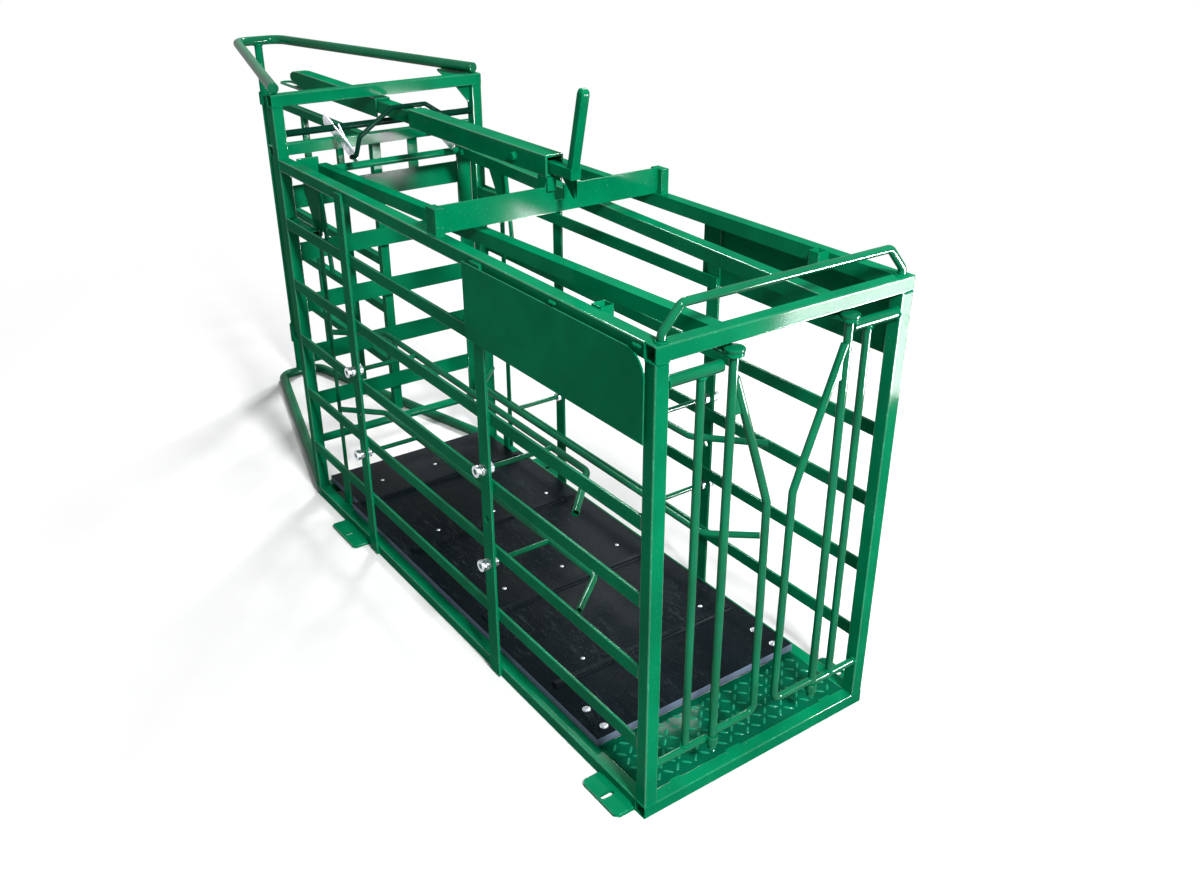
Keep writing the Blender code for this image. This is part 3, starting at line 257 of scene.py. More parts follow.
# Floor: one black film-faced board on the frame, with bevelled cleats across it and zinc button-head bolts.
# Hooves and boots have rubbed the film grey, and the sawn edge shows its plies.
BOARD_BOTTOM = 0.0303
BOARD_TOP = 0.0503
BOARD_REAR = -0.790
BOARD_STEP = -0.600
BOARD_FRONT = 0.608
BOARD_HALF = 0.280
BOARD_REAR_HALF = 0.262
CLEATS_X = (-0.5803, -0.2699, 0.1005, 0.4109)
CLEAT_HALF = 0.258


def swept_faces(rings, around, wrap_rings=False):
    """Quads between following rings, and one face that closes each end unless the rings wrap."""
    ring = np.arange(rings if wrap_rings else rings - 1)[:, None]
    step = np.arange(around)[None, :]
    here = ring * around
    after = ((ring + 1) % rings) * around
    turn = (step + 1) % around
    quads = np.stack([here + step, here + turn, after + turn, after + step], axis=-1).reshape(-1, 4)
    faces = quads.tolist()
    if not wrap_rings:
        faces.append(list(range(around))[::-1])
        faces.append([(rings - 1) * around + index for index in range(around)])
    return faces


def rounded_bar(low, high, radius, axis="x"):
    """A bar between two corners, run along the axis: a rectangle whose corners are quarter circles."""
    steps = 4
    order = {"x": (0, 1, 2), "y": (1, 2, 0), "z": (2, 0, 1)}[axis]
    low, high = np.array(low, float), np.array(high, float)
    middle, half = (low + high) / 2, (high - low) / 2
    angle = (np.arange(4)[:, None] + np.linspace(0, 1, steps + 1)[None, :]) * math.pi / 2
    sign_u = np.array([1, -1, -1, 1])[:, None]
    sign_v = np.array([1, 1, -1, -1])[:, None]
    u = (sign_u * (half[order[1]] - radius) + radius * np.cos(angle)).ravel()
    v = (sign_v * (half[order[2]] - radius) + radius * np.sin(angle)).ravel()
    inset = np.array([0.0, 1.0, 1.0, 0.0])
    along = np.array([-1.0, -1.0, 1.0, 1.0]) * half[order[0]]
    along += np.array([0.0, 1.0, -1.0, 0.0]) * radius * 0.7
    shrink = 1.0 - (1.0 - inset[:, None]) * radius * 0.5 / np.maximum(np.hypot(u, v), 1e-9)[None, :]
    points = np.zeros((4, u.size, 3))
    points[:, :, order[0]] = along[:, None]
    points[:, :, order[1]] = u[None, :] * shrink
    points[:, :, order[2]] = v[None, :] * shrink
    return (points + middle).reshape(-1, 3), swept_faces(4, u.size)


def join_parts(parts):
    """Several (points, faces) pairs as one."""
    points, faces, count = [], [], 0
    for part_points, part_faces in parts:
        points.append(part_points)
        faces += [[index + count for index in face] for face in part_faces]
        count += len(part_points)
    return np.concatenate(points), faces


def film_board(name, sawn_share=0.85):
    """Black film over plywood: grey scuffs along the crate, dusty patches, and plies on the sawn edges."""
    material, surface, start, place = new_material(name)
    stretched = start.node("ShaderNodeMapping", None, {"Vector": place, "Scale": (0.35, 1.6, 1.0)})
    scuffs = stretched.noise(46.0, 6.0, 0.72).between(0.52, 0.74)
    patches = place.noise(4.2, 4.0, 0.62).between(0.40, 0.66)
    marks = stretched.noise(210.0, 3.0, 0.6).between(0.60, 0.72)
    dust = place.noise(900.0, 1.0, 0.5).between(0.66, 0.76)
    rubbed = scuffs * patches
    colour = (0.80 * rubbed).blend((0.0016, 0.0058, 0.0086, 1.0), (0.045, 0.062, 0.068, 1.0))
    colour = (0.30 * marks * patches).blend(colour, (0.16, 0.17, 0.18, 1.0))
    colour = (0.22 * dust).blend(colour, (0.34, 0.36, 0.36, 1.0))
    facing = start.node("ShaderNodeNewGeometry", output="Normal")
    upward = start.node("ShaderNodeSeparateXYZ", None, {0: facing}, "Z")
    sawn = 1.0 - upward.maths("ABSOLUTE", upward).between(0.30, 0.75)
    height = start.node("ShaderNodeSeparateXYZ", None, {0: place}, "Z")
    grain = stretched.noise(330.0, 3.0, 0.6)
    layers = height * 2100.0 + 1.6 * grain
    plies = layers.maths("SINE", layers).between(-0.5, 0.6)
    edge_colour = (0.30 + 0.55 * plies).blend((0.050, 0.075, 0.120, 1.0), (0.27, 0.34, 0.48, 1.0))
    colour = (sawn_share * sawn).blend(colour, edge_colour)
    roughness = 0.42 + 0.25 * rubbed + 0.14 * patches + 0.10 * sawn
    bumps = 0.6 * stretched.noise(150.0, 4.0, 0.6) + 0.5 * marks + 0.4 * plies * sawn
    feed(surface, Base_Color=colour, Roughness=roughness, Normal=bumps.bump(0.00030))
    feed(surface, IOR=1.5, Specular_IOR_Level=0.03)
    return material


def zinc_plate(name):
    """Bright zinc: a cool metal with cloudy passivation, fine turning marks and dull spots."""
    material, surface, start, place = new_material(name)
    cloud = place.noise(130.0, 4.0, 0.6).between(0.35, 0.70)
    spots = place.noise(520.0, 2.0, 0.5).between(0.62, 0.72)
    colour = (0.8 * cloud + 0.2 * spots).blend((0.66, 0.70, 0.74, 1.0), (0.42, 0.46, 0.50, 1.0))
    feed(surface, Base_Color=colour, Metallic=1.0, Roughness=0.22 + 0.20 * cloud + 0.15 * spots)
    feed(surface, Normal=place.noise(1100.0, 2.0, 0.5).bump(0.00003))
    return material


def sawn_sheet(plan, low, high, radius):
    """A sheet over a plan, with eased rims.

    At each level the plan is drawn in along the sum of the inward normals of its edges.
    """
    plan = np.array(plan, float)
    legs = np.roll(plan, -1, axis=0) - plan
    legs /= np.linalg.norm(legs, axis=1)[:, None]
    inward = np.stack([-legs[:, 1], legs[:, 0]], axis=-1)
    drawn = inward + np.roll(inward, 1, axis=0)
    inset = np.array([1.0, 0.3, 0.0, 0.0, 0.3, 1.0]) * radius
    points = np.zeros((6, len(plan), 3))
    points[:, :, :2] = plan + inset[:, None, None] * drawn
    rise = np.array([0.0, 0.3, 1.0]) * radius
    points[:, :, 2] = np.concatenate([low + rise, high - rise[::-1]])[:, None]
    return points.reshape(-1, 3), swept_faces(6, len(plan))


board_finish = film_board("black film board")
near_plan = [(BOARD_REAR, -BOARD_REAR_HALF), (BOARD_STEP, -BOARD_REAR_HALF), (BOARD_STEP, -BOARD_HALF),
             (BOARD_FRONT, -BOARD_HALF)]
board_plan = near_plan + [(x, -y) for x, y in near_plan[::-1]]
board_sheet = sawn_sheet(board_plan, BOARD_BOTTOM, BOARD_TOP, 0.0012)
board = make_piece("floor_sheet", *board_sheet, "crate", board_finish, "black_board")
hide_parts("floor_board")

section = np.array([[-0.012, -0.0005], [0.012, -0.0005], [0.0108, 0.004], [0.0078, 0.0068], [0.006, 0.007],
                    [-0.006, 0.007], [-0.0078, 0.0068], [-0.0108, 0.004]])[::-1]
ends = np.array([-CLEAT_HALF, -CLEAT_HALF + 0.003, CLEAT_HALF - 0.003, CLEAT_HALF])
cleats = []
for x in CLEATS_X:
    points = np.zeros((4, len(section), 3))
    points[:, :, 0] = x + section[None, :, 0]
    points[:, :, 1] = ends[:, None]
    points[:, :, 2] = BOARD_TOP + section[None, :, 1] * np.array([0.6, 1.0, 1.0, 0.6])[:, None]
    cleats.append((points.reshape(-1, 3), swept_faces(4, len(section))))
cleat_finish = film_board("black cleats", sawn_share=0.0)
make_piece("floor_cleats", *join_parts(cleats), "crate", cleat_finish, "black_board")


def repeated_faces(faces, size, copies):
    """The faces of one shape for each of its copies, whose points follow one another."""
    return [[index + copy * size for index in face] for copy in range(copies) for face in faces]


def turned(profile, centres, around=28, ring=False):
    """Copies of a turned shape: the profile's (radius, height) pairs are spun about +Z at each centre."""
    profile, centres = np.array(profile, float), np.array(centres, float)
    angle = np.linspace(0, 2 * math.pi, around, endpoint=False)
    radius = profile[:, 0][:, None]
    level = profile[:, 1][:, None] + 0 * angle
    spun = np.stack([radius * np.cos(angle), radius * np.sin(angle), level], axis=-1)
    points = spun.reshape(1, -1, 3) + centres[:, None, :]
    one = swept_faces(len(profile), around, wrap_rings=ring)
    return points.reshape(-1, 3), repeated_faces(one, points.shape[1], len(centres))


zinc = zinc_plate("bright zinc")
bolt_places = [(x, y, BOARD_TOP) for x in (0.517, 0.582) for y in (-0.244, 0.244)]
screw_places = [(0.368 - 0.347 * row, y, BOARD_TOP) for row in range(4) for y in (-0.150, 0.025, 0.203)]
button = [(0.0095, -0.0004), (0.0095, 0.0009), (0.0090, 0.0012), (0.0074, 0.0013), (0.0073, 0.0020),
          (0.0064, 0.0033), (0.0048, 0.0042), (0.0032, 0.0045), (0.0029, 0.0043), (0.0028, 0.0022),
          (0.0004, 0.0018)]
screw = [(0.55 * radius, 0.5 * height) for radius, height in button]
bolts = join_parts([turned(button, bolt_places), turned(screw, screw_places, 20)])
make_piece("floor_bolts", *bolts, "crate", zinc, "zinc")

# Tread plate: a sheet with rolled-up lugs in a herringbone, let into the frame where the sheep steps in.
# Each lug is a long lens with pointed ends. The plate is painted with the frame.
TREAD_REAR = 0.609
TREAD_FRONT = 0.7727
TREAD_HALF = 0.2747
TREAD_TOP = 0.030
LUG_PITCH = 0.024


def lens_lugs(centres, angles, length, width, height):
    """Raised lenses, with s along and t across from -1 to 1.

    The half width falls as the root of 1 - s squared.
    The height falls as (1 - s to the fourth) times (1 - t squared).
    """
    lines, line = 11, 7
    stations = np.sin(np.linspace(-1, 1, lines) * math.pi / 2)
    s, t = np.meshgrid(stations, np.linspace(-1, 1, line), indexing="ij")
    along = s * length / 2
    across = t * width / 2 * np.sqrt(np.maximum(1 - s ** 2, 0.0004))
    rise = height * (1 - s ** 4) * (1 - t ** 2) - 0.0002
    turn, centres = np.array(angles)[:, None], np.array(centres)
    x = centres[:, 0, None] + along.ravel() * np.cos(turn) - across.ravel() * np.sin(turn)
    y = centres[:, 1, None] + along.ravel() * np.sin(turn) + across.ravel() * np.cos(turn)
    z = centres[:, 2, None] + rise.ravel() + 0 * turn
    points = np.stack([x, y, z], axis=-1)
    grid = np.arange(lines * line).reshape(lines, line)
    quad = np.stack([grid[:-1, :-1], grid[1:, :-1], grid[1:, 1:], grid[:-1, 1:]], axis=-1).reshape(-1, 4)
    rim = [*grid[:, 0], *grid[-1, 1:], *grid[-2::-1, -1], *grid[0, -2:0:-1]]
    copies = np.arange(len(centres))[:, None, None] * grid.size
    faces = (quad[None] + copies).reshape(-1, 4).tolist()
    faces += (np.array(rim)[::-1][None, :] + copies[:, 0]).tolist()
    return points.reshape(-1, 3), faces


lug_columns = int((TREAD_FRONT - TREAD_REAR) / LUG_PITCH)
lug_rows = int(2 * TREAD_HALF / LUG_PITCH)
column, row = np.meshgrid(np.arange(lug_columns), np.arange(lug_rows), indexing="ij")
lug_x = (TREAD_REAR + TREAD_FRONT) / 2 + (column - (lug_columns - 1) / 2) * LUG_PITCH
lug_y = (row - (lug_rows - 1) / 2) * LUG_PITCH
lug_turn = np.where((column + row) % 2, math.pi / 4, -math.pi / 4).ravel()
lug_middles = np.stack([lug_x.ravel(), lug_y.ravel(), np.full(lug_x.size, TREAD_TOP)], axis=-1)
# The sheet is drawn in a darker green than the frame's: painted shade between the lugs.
tread_shade_paint = gloss_paint("tread enamel with painted shade", (0.0006, 0.115, 0.056, 1.0), (0.0004, 0.075, 0.038, 1.0),
                          ripple=0.00002)
# The lugs are drawn in a lighter green, with more coat: a painted highlight on the lugs.
lug_highlight_paint = gloss_paint("lugs with painted highlight", (0.002, 0.260, 0.130, 1.0), (0.001, 0.180, 0.090, 1.0), sheen=0.30)
sheet = rounded_bar((TREAD_REAR, -TREAD_HALF, TREAD_TOP - 0.006), (TREAD_FRONT, TREAD_HALF, TREAD_TOP),
                    0.0008)
tread = make_piece("tread_sheet", *sheet, "crate", tread_shade_paint, "green_paint")
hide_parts("tread_plate")
make_piece("tread_lugs", *lens_lugs(lug_middles, lug_turn, 0.0225, 0.0070, 0.0025), "crate", lug_highlight_paint,
           "green_paint", angle=70.0)

# Inner rails and their cross bar: box tubes that run over the animal's back and narrow towards the head.
# The hanger plates inside the rear bay carry rods, bright on the real crate and in the plates' paint here.
soften("inner_rail_frame", frame_paint, radius=0.0020)
for side, _ in SIDES:
    soften(side + "_tie", frame_paint, radius=0.0006)

# Bridge, sleeve and long bar: a plate on edge carries a box tube, and a smaller box bar slides in it.
# The hand lever is welded on the bar's front end, and a folded channel caps the rear end.
bridge_paint = gloss_paint("speckled enamel", speckle=0.45)
soften("bridge", bridge_paint, radius=0.0004)
for node, radius in (("lever_sleeve", 0.0022), ("lever_bar", 0.0022), ("rear_channel", 0.0015)):
    soften(node, frame_paint, radius=radius)

# Cross shaft: a dark round bar through the rear posts, with two bright lever plates and a bent rod yoke.
# The yoke stands over the long bar, and thin rods tie its feet to the plates.
SHAFT_X = -0.790
SHAFT_Z = 1.059
SHAFT_REACH = 0.293
PLATE_Y = 0.140
LONG_BAR_TOP = 1.120
YOKE_RADIUS = 0.006


def bend(corners, radius, steps=10):
    """A path through the corners, with each inner corner replaced by an arc that touches both legs."""
    corners = np.array(corners, float)
    parts = [corners[:1]]
    for before, corner, after in zip(corners, corners[1:], corners[2:]):
        back = (before - corner) / np.linalg.norm(before - corner)
        ahead = (after - corner) / np.linalg.norm(after - corner)
        half = math.acos(np.clip(back @ ahead, -1, 1)) / 2
        middle = (back + ahead) / np.linalg.norm(back + ahead)
        centre = corner + middle * radius / math.sin(half)
        first = (corner + back * radius / math.tan(half) - centre) / radius
        last = (corner + ahead * radius / math.tan(half) - centre) / radius
        share = np.linspace(0, 1, steps + 1)[:, None]
        sweep = math.pi - 2 * half
        arc = (np.sin((1 - share) * sweep) * first + np.sin(share * sweep) * last) / math.sin(sweep)
        parts.append(centre + arc * radius)
    parts.append(corners[-1:])
    return np.concatenate(parts)


def round_bar(path, radius, reference, around=24, wall=0.0, dome=0.0):
    """A round bar or tube: circles square to the path's direction, one axis of each square to the reference.

    A wall makes it a tube with open ends, and a dome rounds the ends off by that length.
    """
    path = np.array(path, float)
    legs = np.diff(path, axis=0)
    legs /= np.linalg.norm(legs, axis=1)[:, None]
    direction = np.concatenate([legs[:1], legs[:-1] + legs[1:], legs[-1:]])
    direction /= np.linalg.norm(direction, axis=1)[:, None]
    side = np.cross(direction, np.array(reference, float))
    side /= np.linalg.norm(side, axis=1)[:, None]
    other = np.cross(direction, side)
    angle = np.linspace(0, 2 * math.pi, around, endpoint=False)
    unit = side[:, None, :] * np.cos(angle)[None, :, None] + other[:, None, :] * np.sin(angle)[None, :, None]
    outer = path[:, None, :] + radius * unit
    if wall:
        inner = (path[:, None, :] + (radius - wall) * unit)[::-1]
        rings = np.concatenate([outer, inner])
        return rings.reshape(-1, 3), swept_faces(len(rings), around, wrap_rings=True)
    if dome:
        steps = ((1.0, 0.45), (0.7, 0.80), (0.3, 0.96))
        first = [path[0] - direction[0] * dome * out + radius * share * unit[0] for out, share in steps]
        last = [path[-1] + direction[-1] * dome * out + radius * share * unit[-1]
                for out, share in steps[::-1]]
        outer = np.concatenate([np.array(first), outer, np.array(last)])
    return outer.reshape(-1, 3), swept_faces(len(outer), around)


def strip(start, end, radius, axis_y, thickness):
    """A flat strip with round ends in the XZ plane, given its two end centres, with bevelled rims."""
    steps = 10
    start, end = np.array(start, float), np.array(end, float)
    heading = math.atan2(end[1] - start[1], end[0] - start[0])
    angle = heading + np.linspace(-math.pi / 2, math.pi / 2, steps + 1)
    ring_u = np.concatenate([end[0] + radius * np.cos(angle), start[0] + radius * np.cos(angle + math.pi)])
    ring_v = np.concatenate([end[1] + radius * np.sin(angle), start[1] + radius * np.sin(angle + math.pi)])
    middle_u, middle_v = ring_u.mean(), ring_v.mean()
    share = np.array([0.985, 1.0, 1.0, 0.985])[:, None]
    level = axis_y + np.array([-0.5, -0.36, 0.36, 0.5]) * thickness
    points = np.stack([middle_u + (ring_u - middle_u) * share, level[:, None] + 0 * ring_u[None, :],
                       middle_v + (ring_v - middle_v) * share], axis=-1)
    faces = [face[::-1] for face in swept_faces(4, ring_u.size)]
    return points.reshape(-1, 3), faces


dark_paint = gloss_paint("dark enamel", (0.002, 0.045, 0.024, 1.0), (0.001, 0.026, 0.015, 1.0),
                         (0.05, 0.20, 0.13, 1.0))
crown_z = LONG_BAR_TOP + YOKE_RADIUS + 0.0003
half_yoke = [(-0.672, 0.1470, 1.004), (-0.630, 0.1520, 1.016), (-0.620, 0.1420, 1.064),
             (-0.620, 0.0480, crown_z)]
yoke_path = bend([(x, -y, z) for x, y, z in half_yoke] + half_yoke[::-1], 0.010, 8)
shaft_line = [(SHAFT_X, -SHAFT_REACH, SHAFT_Z), (SHAFT_X, SHAFT_REACH, SHAFT_Z)]
shaft_parts = [round_bar(shaft_line, 0.009, (0, 0, 1)),
               round_bar(yoke_path, YOKE_RADIUS, (0.6, 0.0, -0.8), 20)]
shaft = make_piece("cross_shaft_bar", *join_parts(shaft_parts), "yoke", dark_paint, "dark_paint")
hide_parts("cross_shaft")
plate_ends = ((SHAFT_X - 0.046, SHAFT_Z + 0.012), (SHAFT_X + 0.126, SHAFT_Z - 0.055))
plates = [strip(*plate_ends, 0.014, sign * PLATE_Y, 0.005) for _, sign in SIDES]
for side, sign in SIDES:
    link = [(SHAFT_X + 0.002, sign * (PLATE_Y - 0.014), SHAFT_Z + 0.006), (-0.664, sign * 0.1445, 1.0085)]
    plates.append(round_bar(link, 0.0035, (0, 1, 0), 16))
make_piece("lever_plates", *join_parts(plates), "yoke", zinc, "zinc")

# Nose frame: two bent round tubes behind the rear posts, one on the ground and one on top, and a post.
# The upper tube's ends are closed and welded on the crossbar, and the leaf's collars turn on the post.
POST_X = 0.788
NOSE_END_X = -1.675
# The round bars get a darker copy of the frame's green: painted shade on their curved sides.
shaded_bar_paint = gloss_paint("round bar enamel with painted shade", (0.0008, 0.175, 0.075, 1.0), (0.0005, 0.120, 0.050, 1.0),
                        gloss=0.13, sheen=0.28)


def nose_path(z):
    """Plan of the nose: two converging legs and a short end, with 50 mm bends."""
    corners = [(-POST_X, -0.290, z), (NOSE_END_X, -0.068, z), (NOSE_END_X, 0.068, z), (-POST_X, 0.290, z)]
    return bend(corners, 0.050, 16)


upper_nose = make_piece("upper_nose_tube", *round_bar(nose_path(1.1743), 0.014, (0, 0, 1), 28, dome=0.002),
                        "crate", shaded_bar_paint, "green_paint")
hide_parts("upper_nose_frame")
sill = rounded_bar((-POST_X - 0.015, -0.305, 0.0), (-POST_X + 0.015, 0.305, 0.030), 0.0025, "y")
lower_parts = [round_bar(nose_path(0.015), 0.015, (0, 0, 1), 28), sill]
lower_nose = make_piece("lower_nose_tube", *join_parts(lower_parts), "crate", shaded_bar_paint, "green_paint")
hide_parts("lower_nose_frame")
# The nose post is round: no edge of it is as long as this, so none is rounded.
longer_than_any = 2.0
soften("nose_post", frame_paint, radius=0.0005, shortest=longer_than_any)

# Drafting leaf and rear gate: welded up from bars and slats, and open, so that the animal sees through them.
# The leaf's 25 mm bars turn on the nose post by two collars. The gate's 5 mm slats are welded on
# two uprights, and it hangs from a slotted track by two rollers.
soften("drafting_leaf", frame_paint, radius=0.0008)
soften("gate_track", frame_paint, radius=0.0012)
soften("rear_gate", frame_paint, radius=0.0010)

# Front end: fixed wings beside two swinging jaws of 16 mm round bar, bent towards the animal's neck.
# Each jaw has a flat cap on the strap above it, and its lower end turns in an eye at the foot of the wing.
PIVOT_X = 0.803
PIVOT_Y = 0.138
WING_X = 0.793
WING_BAR_Y = 0.200
WING_TOP_Z = 0.930
WING_FOOT_Z = 0.121
POST_INNER_Y = 0.2746
eye = [(0.0117, 0.0), (0.0125, 0.0008), (0.0125, 0.0172), (0.0117, 0.0180), (0.0090, 0.0180), (0.0090, 0.0)]
cap = [(0.0185, 0.0), (0.019, 0.0012), (0.019, 0.0048), (0.0178, 0.0062), (0.0150, 0.0069), (0.0004, 0.0070)]
for side, sign in SIDES:
    post_y, bar_y = sign * POST_INNER_Y, sign * WING_BAR_Y
    top_bar = [(WING_X, post_y, WING_TOP_Z), (WING_X, sign * 0.157, WING_TOP_Z)]
    upright = [(WING_X, bar_y, WING_FOOT_Z), (WING_X, bar_y, WING_TOP_Z - 0.002)]
    foot_bar = [(WING_X, post_y, WING_FOOT_Z), (WING_X, sign * 0.147, WING_FOOT_Z)]
    parts = [round_bar(top_bar, 0.011, (1, 0, 0), dome=0.001),
             round_bar(upright, 0.008, (1, 0, 0), 20),
             round_bar(foot_bar, 0.008, (1, 0, 0), 20),
             turned(eye, [(PIVOT_X, sign * PIVOT_Y, 0.112)], ring=True)]
    wing = make_piece(side + "_wing_bars", *join_parts(parts), "crate", shaded_bar_paint, "green_paint")
    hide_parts(side + "_front_wing")
jaw_bends = {
    "near": [(0.132, 0.905), (0.10005, 0.815), (0.0552, 0.687), (0.03588, 0.630), (0.02995, 0.140),
             (0.134, 0.140)],
    "far": [(0.132, 0.905), (0.09798, 0.815), (0.04996, 0.687), (0.02995, 0.630), (0.02705, 0.140),
            (0.134, 0.140)],
}
for side, sign in SIDES:
    pivot_y = sign * PIVOT_Y
    corners = [(PIVOT_X, sign * y, z) for y, z in jaw_bends[side]]
    pivot_line = [(PIVOT_X, pivot_y, 0.099), (PIVOT_X, pivot_y, 0.9568)]
    parts = [round_bar(bend(corners, 0.018, 8), 0.008, (1, 0, 0), 20),
             round_bar(pivot_line, 0.0085, (0, 1, 0), dome=0.001),
             turned(cap, [(PIVOT_X, pivot_y, 0.9558)], 32)]
    gusset = np.array([(pivot_y - sign * 0.004, 0.895), (pivot_y - sign * 0.004, 0.835),
                       (sign * 0.10805, 0.835), (sign * 0.121, 0.895)])
    if sign > 0:
        gusset = gusset[::-1]
    plate = np.zeros((2, 4, 3))
    plate[:, :, 0] = PIVOT_X + np.array([-0.0025, 0.0025])[:, None]
    plate[:, :, 1:] = gusset[None]
    parts.append((plate.reshape(-1, 3), swept_faces(2, 4)))
    jaw = make_piece(side + "_jaw_bar", *join_parts(parts), side + "_jaw_body", shaded_bar_paint, "green_paint")
    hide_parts(side + "_jaw")

# Hoop: a low hoop of 16 mm round bar with two bends on each side, welded on the front top beam.
# It is taken for a hand hold.
HOOP_FOOT_Y = 0.283
hoop_corners = [(POST_X, -HOOP_FOOT_Y, 1.0003), (POST_X, -HOOP_FOOT_Y, 1.014), (POST_X, -0.243, 1.058)]
hoop_corners += [(x, -y, z) for x, y, z in reversed(hoop_corners)]
hoop = make_piece("front_hoop_bar", *round_bar(bend(hoop_corners, 0.018, 10), 0.008, (1, 0, 0), 24), "crate",
                  shaded_bar_paint, "green_paint")
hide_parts("front_hoop")

# Squeeze bars: bent 16 mm tubes along the cabin that close in on the animal, each on two round rods.
# The rods run through zinc bushes: a ring nut and a lock nut outside the mid post and a nut inside it.
SQUEEZE_LEVELS = (("upper", 0.540), ("lower", 0.305))
MID_POST_OUTER_Y = 0.3113
squeeze_plans = {
    "upper": [(-0.685, 0.252), (-0.589, 0.137), (0.375, 0.140), (0.504, 0.258)],
    "lower": [(-0.691, 0.252), (-0.591, 0.155), (0.420, 0.151), (0.504, 0.252)],
}
for side, sign in SIDES:
    for height, z in SQUEEZE_LEVELS:
        plan = squeeze_plans[height]
        path = bend([(x, sign * y, z) for x, y in plan], 0.035, 12)
        parts = [round_bar(path, 0.0078, (0, 0, 1), 24, wall=0.0018)]
        slope = (plan[2][1] - plan[1][1]) / (plan[2][0] - plan[1][0])
        for x in MID_POSTS_X:
            start_y = plan[1][1] + slope * (x - plan[1][0]) + 0.0050
            rod = [(x, sign * start_y, z), (x, sign * 0.3333, z)]
            parts.append(round_bar(rod, 0.0060, (0, 0, 1), 20, dome=0.001))
        name = side + "_" + height + "_squeeze"
        bar = make_piece(name + "_tube", *join_parts(parts), name, shaded_bar_paint, "green_paint")
        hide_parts(name + "_bar")


def hex_nuts(levels, bore, across):
    """Nuts along Y, each from a start to an end, with six flats or round, and cut by a cone at each end."""
    steps = 48
    angle = np.linspace(0, 2 * math.pi, steps, endpoint=False)
    flat = across / 2 / np.cos((angle + math.pi / 6) % (math.pi / 3) - math.pi / 6)
    parts = []
    for start, end, sides in levels:
        shape = flat if sides == 6 else np.full(steps, across / 2 * 1.12)
        cone = np.array([0.52, 0.545, 0.60, 0.60, 0.545, 0.52])[:, None] * across
        radius = np.minimum(shape[None, :], cone)
        y = np.array([start, start + 0.0006, start + 0.0024, end - 0.0024, end - 0.0006, end])
        rings = np.concatenate([radius, np.full((2, steps), bore)])
        places = np.concatenate([y, [end, start]])
        level = places[:, None] + 0 * rings
        points = np.stack([rings * np.cos(angle), level, rings * np.sin(angle)], axis=-1)
        faces = [face[::-1] for face in swept_faces(8, steps, wrap_rings=True)]
        parts.append((points.reshape(-1, 3), faces))
    return join_parts(parts)


nut_levels = [(0.0003, 0.0115, 6), (0.0130, 0.0230, 0), (-0.0178, -0.0063, 6)]
sleeve = round_bar([(0, -0.0178, 0), (0, 0.0226, 0)], 0.0090, (0, 0, 1), wall=0.0027)
bush_points, bush_faces = join_parts([hex_nuts(nut_levels, 0.0075, 0.024), sleeve])
for side, sign in SIDES:
    for height, z in SQUEEZE_LEVELS:
        for place, x in zip(("rear", "front"), MID_POSTS_X):
            points = bush_points * np.array([1, sign, 1]) + np.array([x, sign * MID_POST_OUTER_Y, z])
            faces = [face[::sign] for face in bush_faces]
            name = "_".join((side, height, "bush", place))
            nuts = make_piece(name + "_nuts", points, faces, "crate", zinc, "zinc")
            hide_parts(name)

# Weld beads: short runs of stick weld at the frame's joints, rippled by the rod's weave, under the paint.
# Runs are straight along a seam, or rings round a bar's foot.
weld_paint = gloss_paint("enamel over weld", ripple=0.00005, gloss=0.16)


def weld_runs(runs, size, rings=26):
    """Beads along seams, each given by its start, its end and the way it bulges.

    A bead is a flat ellipse across, whose size swells with a rippling weave and closes at the ends.
    """
    around = 9
    starts, ends, outs = np.array(runs, float).transpose(1, 0, 2)
    share = np.linspace(0, 1, rings)
    seam = ends - starts
    length = np.linalg.norm(seam, axis=1)
    along = seam / length[:, None]
    outs = outs / np.linalg.norm(outs, axis=1)[:, None]
    side = np.cross(outs, along)
    number = np.arange(len(starts))
    weave = np.round(length / 0.0032)[:, None] * share[None, :]
    swell = 1 + 0.16 * np.abs(np.sin(weave * math.pi + number[:, None]))
    swell += 0.10 * np.sin(7.3 * weave + number[:, None] * 2.1)
    taper = np.sqrt(np.maximum(1 - np.abs(2 * share - 1) ** 7, 0.03))
    reach = size * swell * taper[None, :]
    drift = size * 0.22 * np.sin(1.9 * weave + 3.7 * number[:, None])
    angle = np.linspace(0, 2 * math.pi, around, endpoint=False)
    middle = starts[:, None, :] + seam[:, None, :] * share[None, :, None]
    middle += side[:, None, :] * drift[..., None]
    points = (middle[:, :, None, :]
              + (reach[..., None] * np.cos(angle))[..., None] * side[:, None, None, :]
              + (reach[..., None] * 0.62 * np.sin(angle))[..., None] * outs[:, None, None, :])
    one = swept_faces(rings, around)
    return points.reshape(-1, 3), repeated_faces(one, rings * around, len(starts))


def weld_rings(loops, size):
    """Beads round bars, each given by its middle, axis and radius. The thickness ripples round the ring."""
    rings, around = 40, 8
    centres, axes, radii = (np.array(column, float) for column in zip(*loops))
    first = np.cross(axes, np.where(np.abs(axes[:, :1]) > 0.9, [[0.0, 1.0, 0.0]], [[1.0, 0.0, 0.0]]))
    first /= np.linalg.norm(first, axis=1)[:, None]
    second = np.cross(axes, first)
    turn = np.linspace(0, 2 * math.pi, rings, endpoint=False)
    outward = first[:, None] * np.cos(turn)[None, :, None] + second[:, None] * np.sin(turn)[None, :, None]
    number = np.arange(len(centres))[:, None]
    reach = size * (1 + 0.15 * np.sin(11 * turn + number) + 0.12 * np.sin(5 * turn + 2 * number))
    angle = np.linspace(0, 2 * math.pi, around, endpoint=False)
    distance = radii[:, None, None] + (reach[..., None] * np.cos(angle))
    rise = reach[..., None] * np.sin(angle)
    points = centres[:, None, None, :] + distance[..., None] * outward[:, :, None, :]
    points -= rise[..., None] * axes[:, None, None, :]
    one = swept_faces(rings, around, wrap_rings=True)
    return points.reshape(-1, 3), repeated_faces(one, rings * around, len(centres))


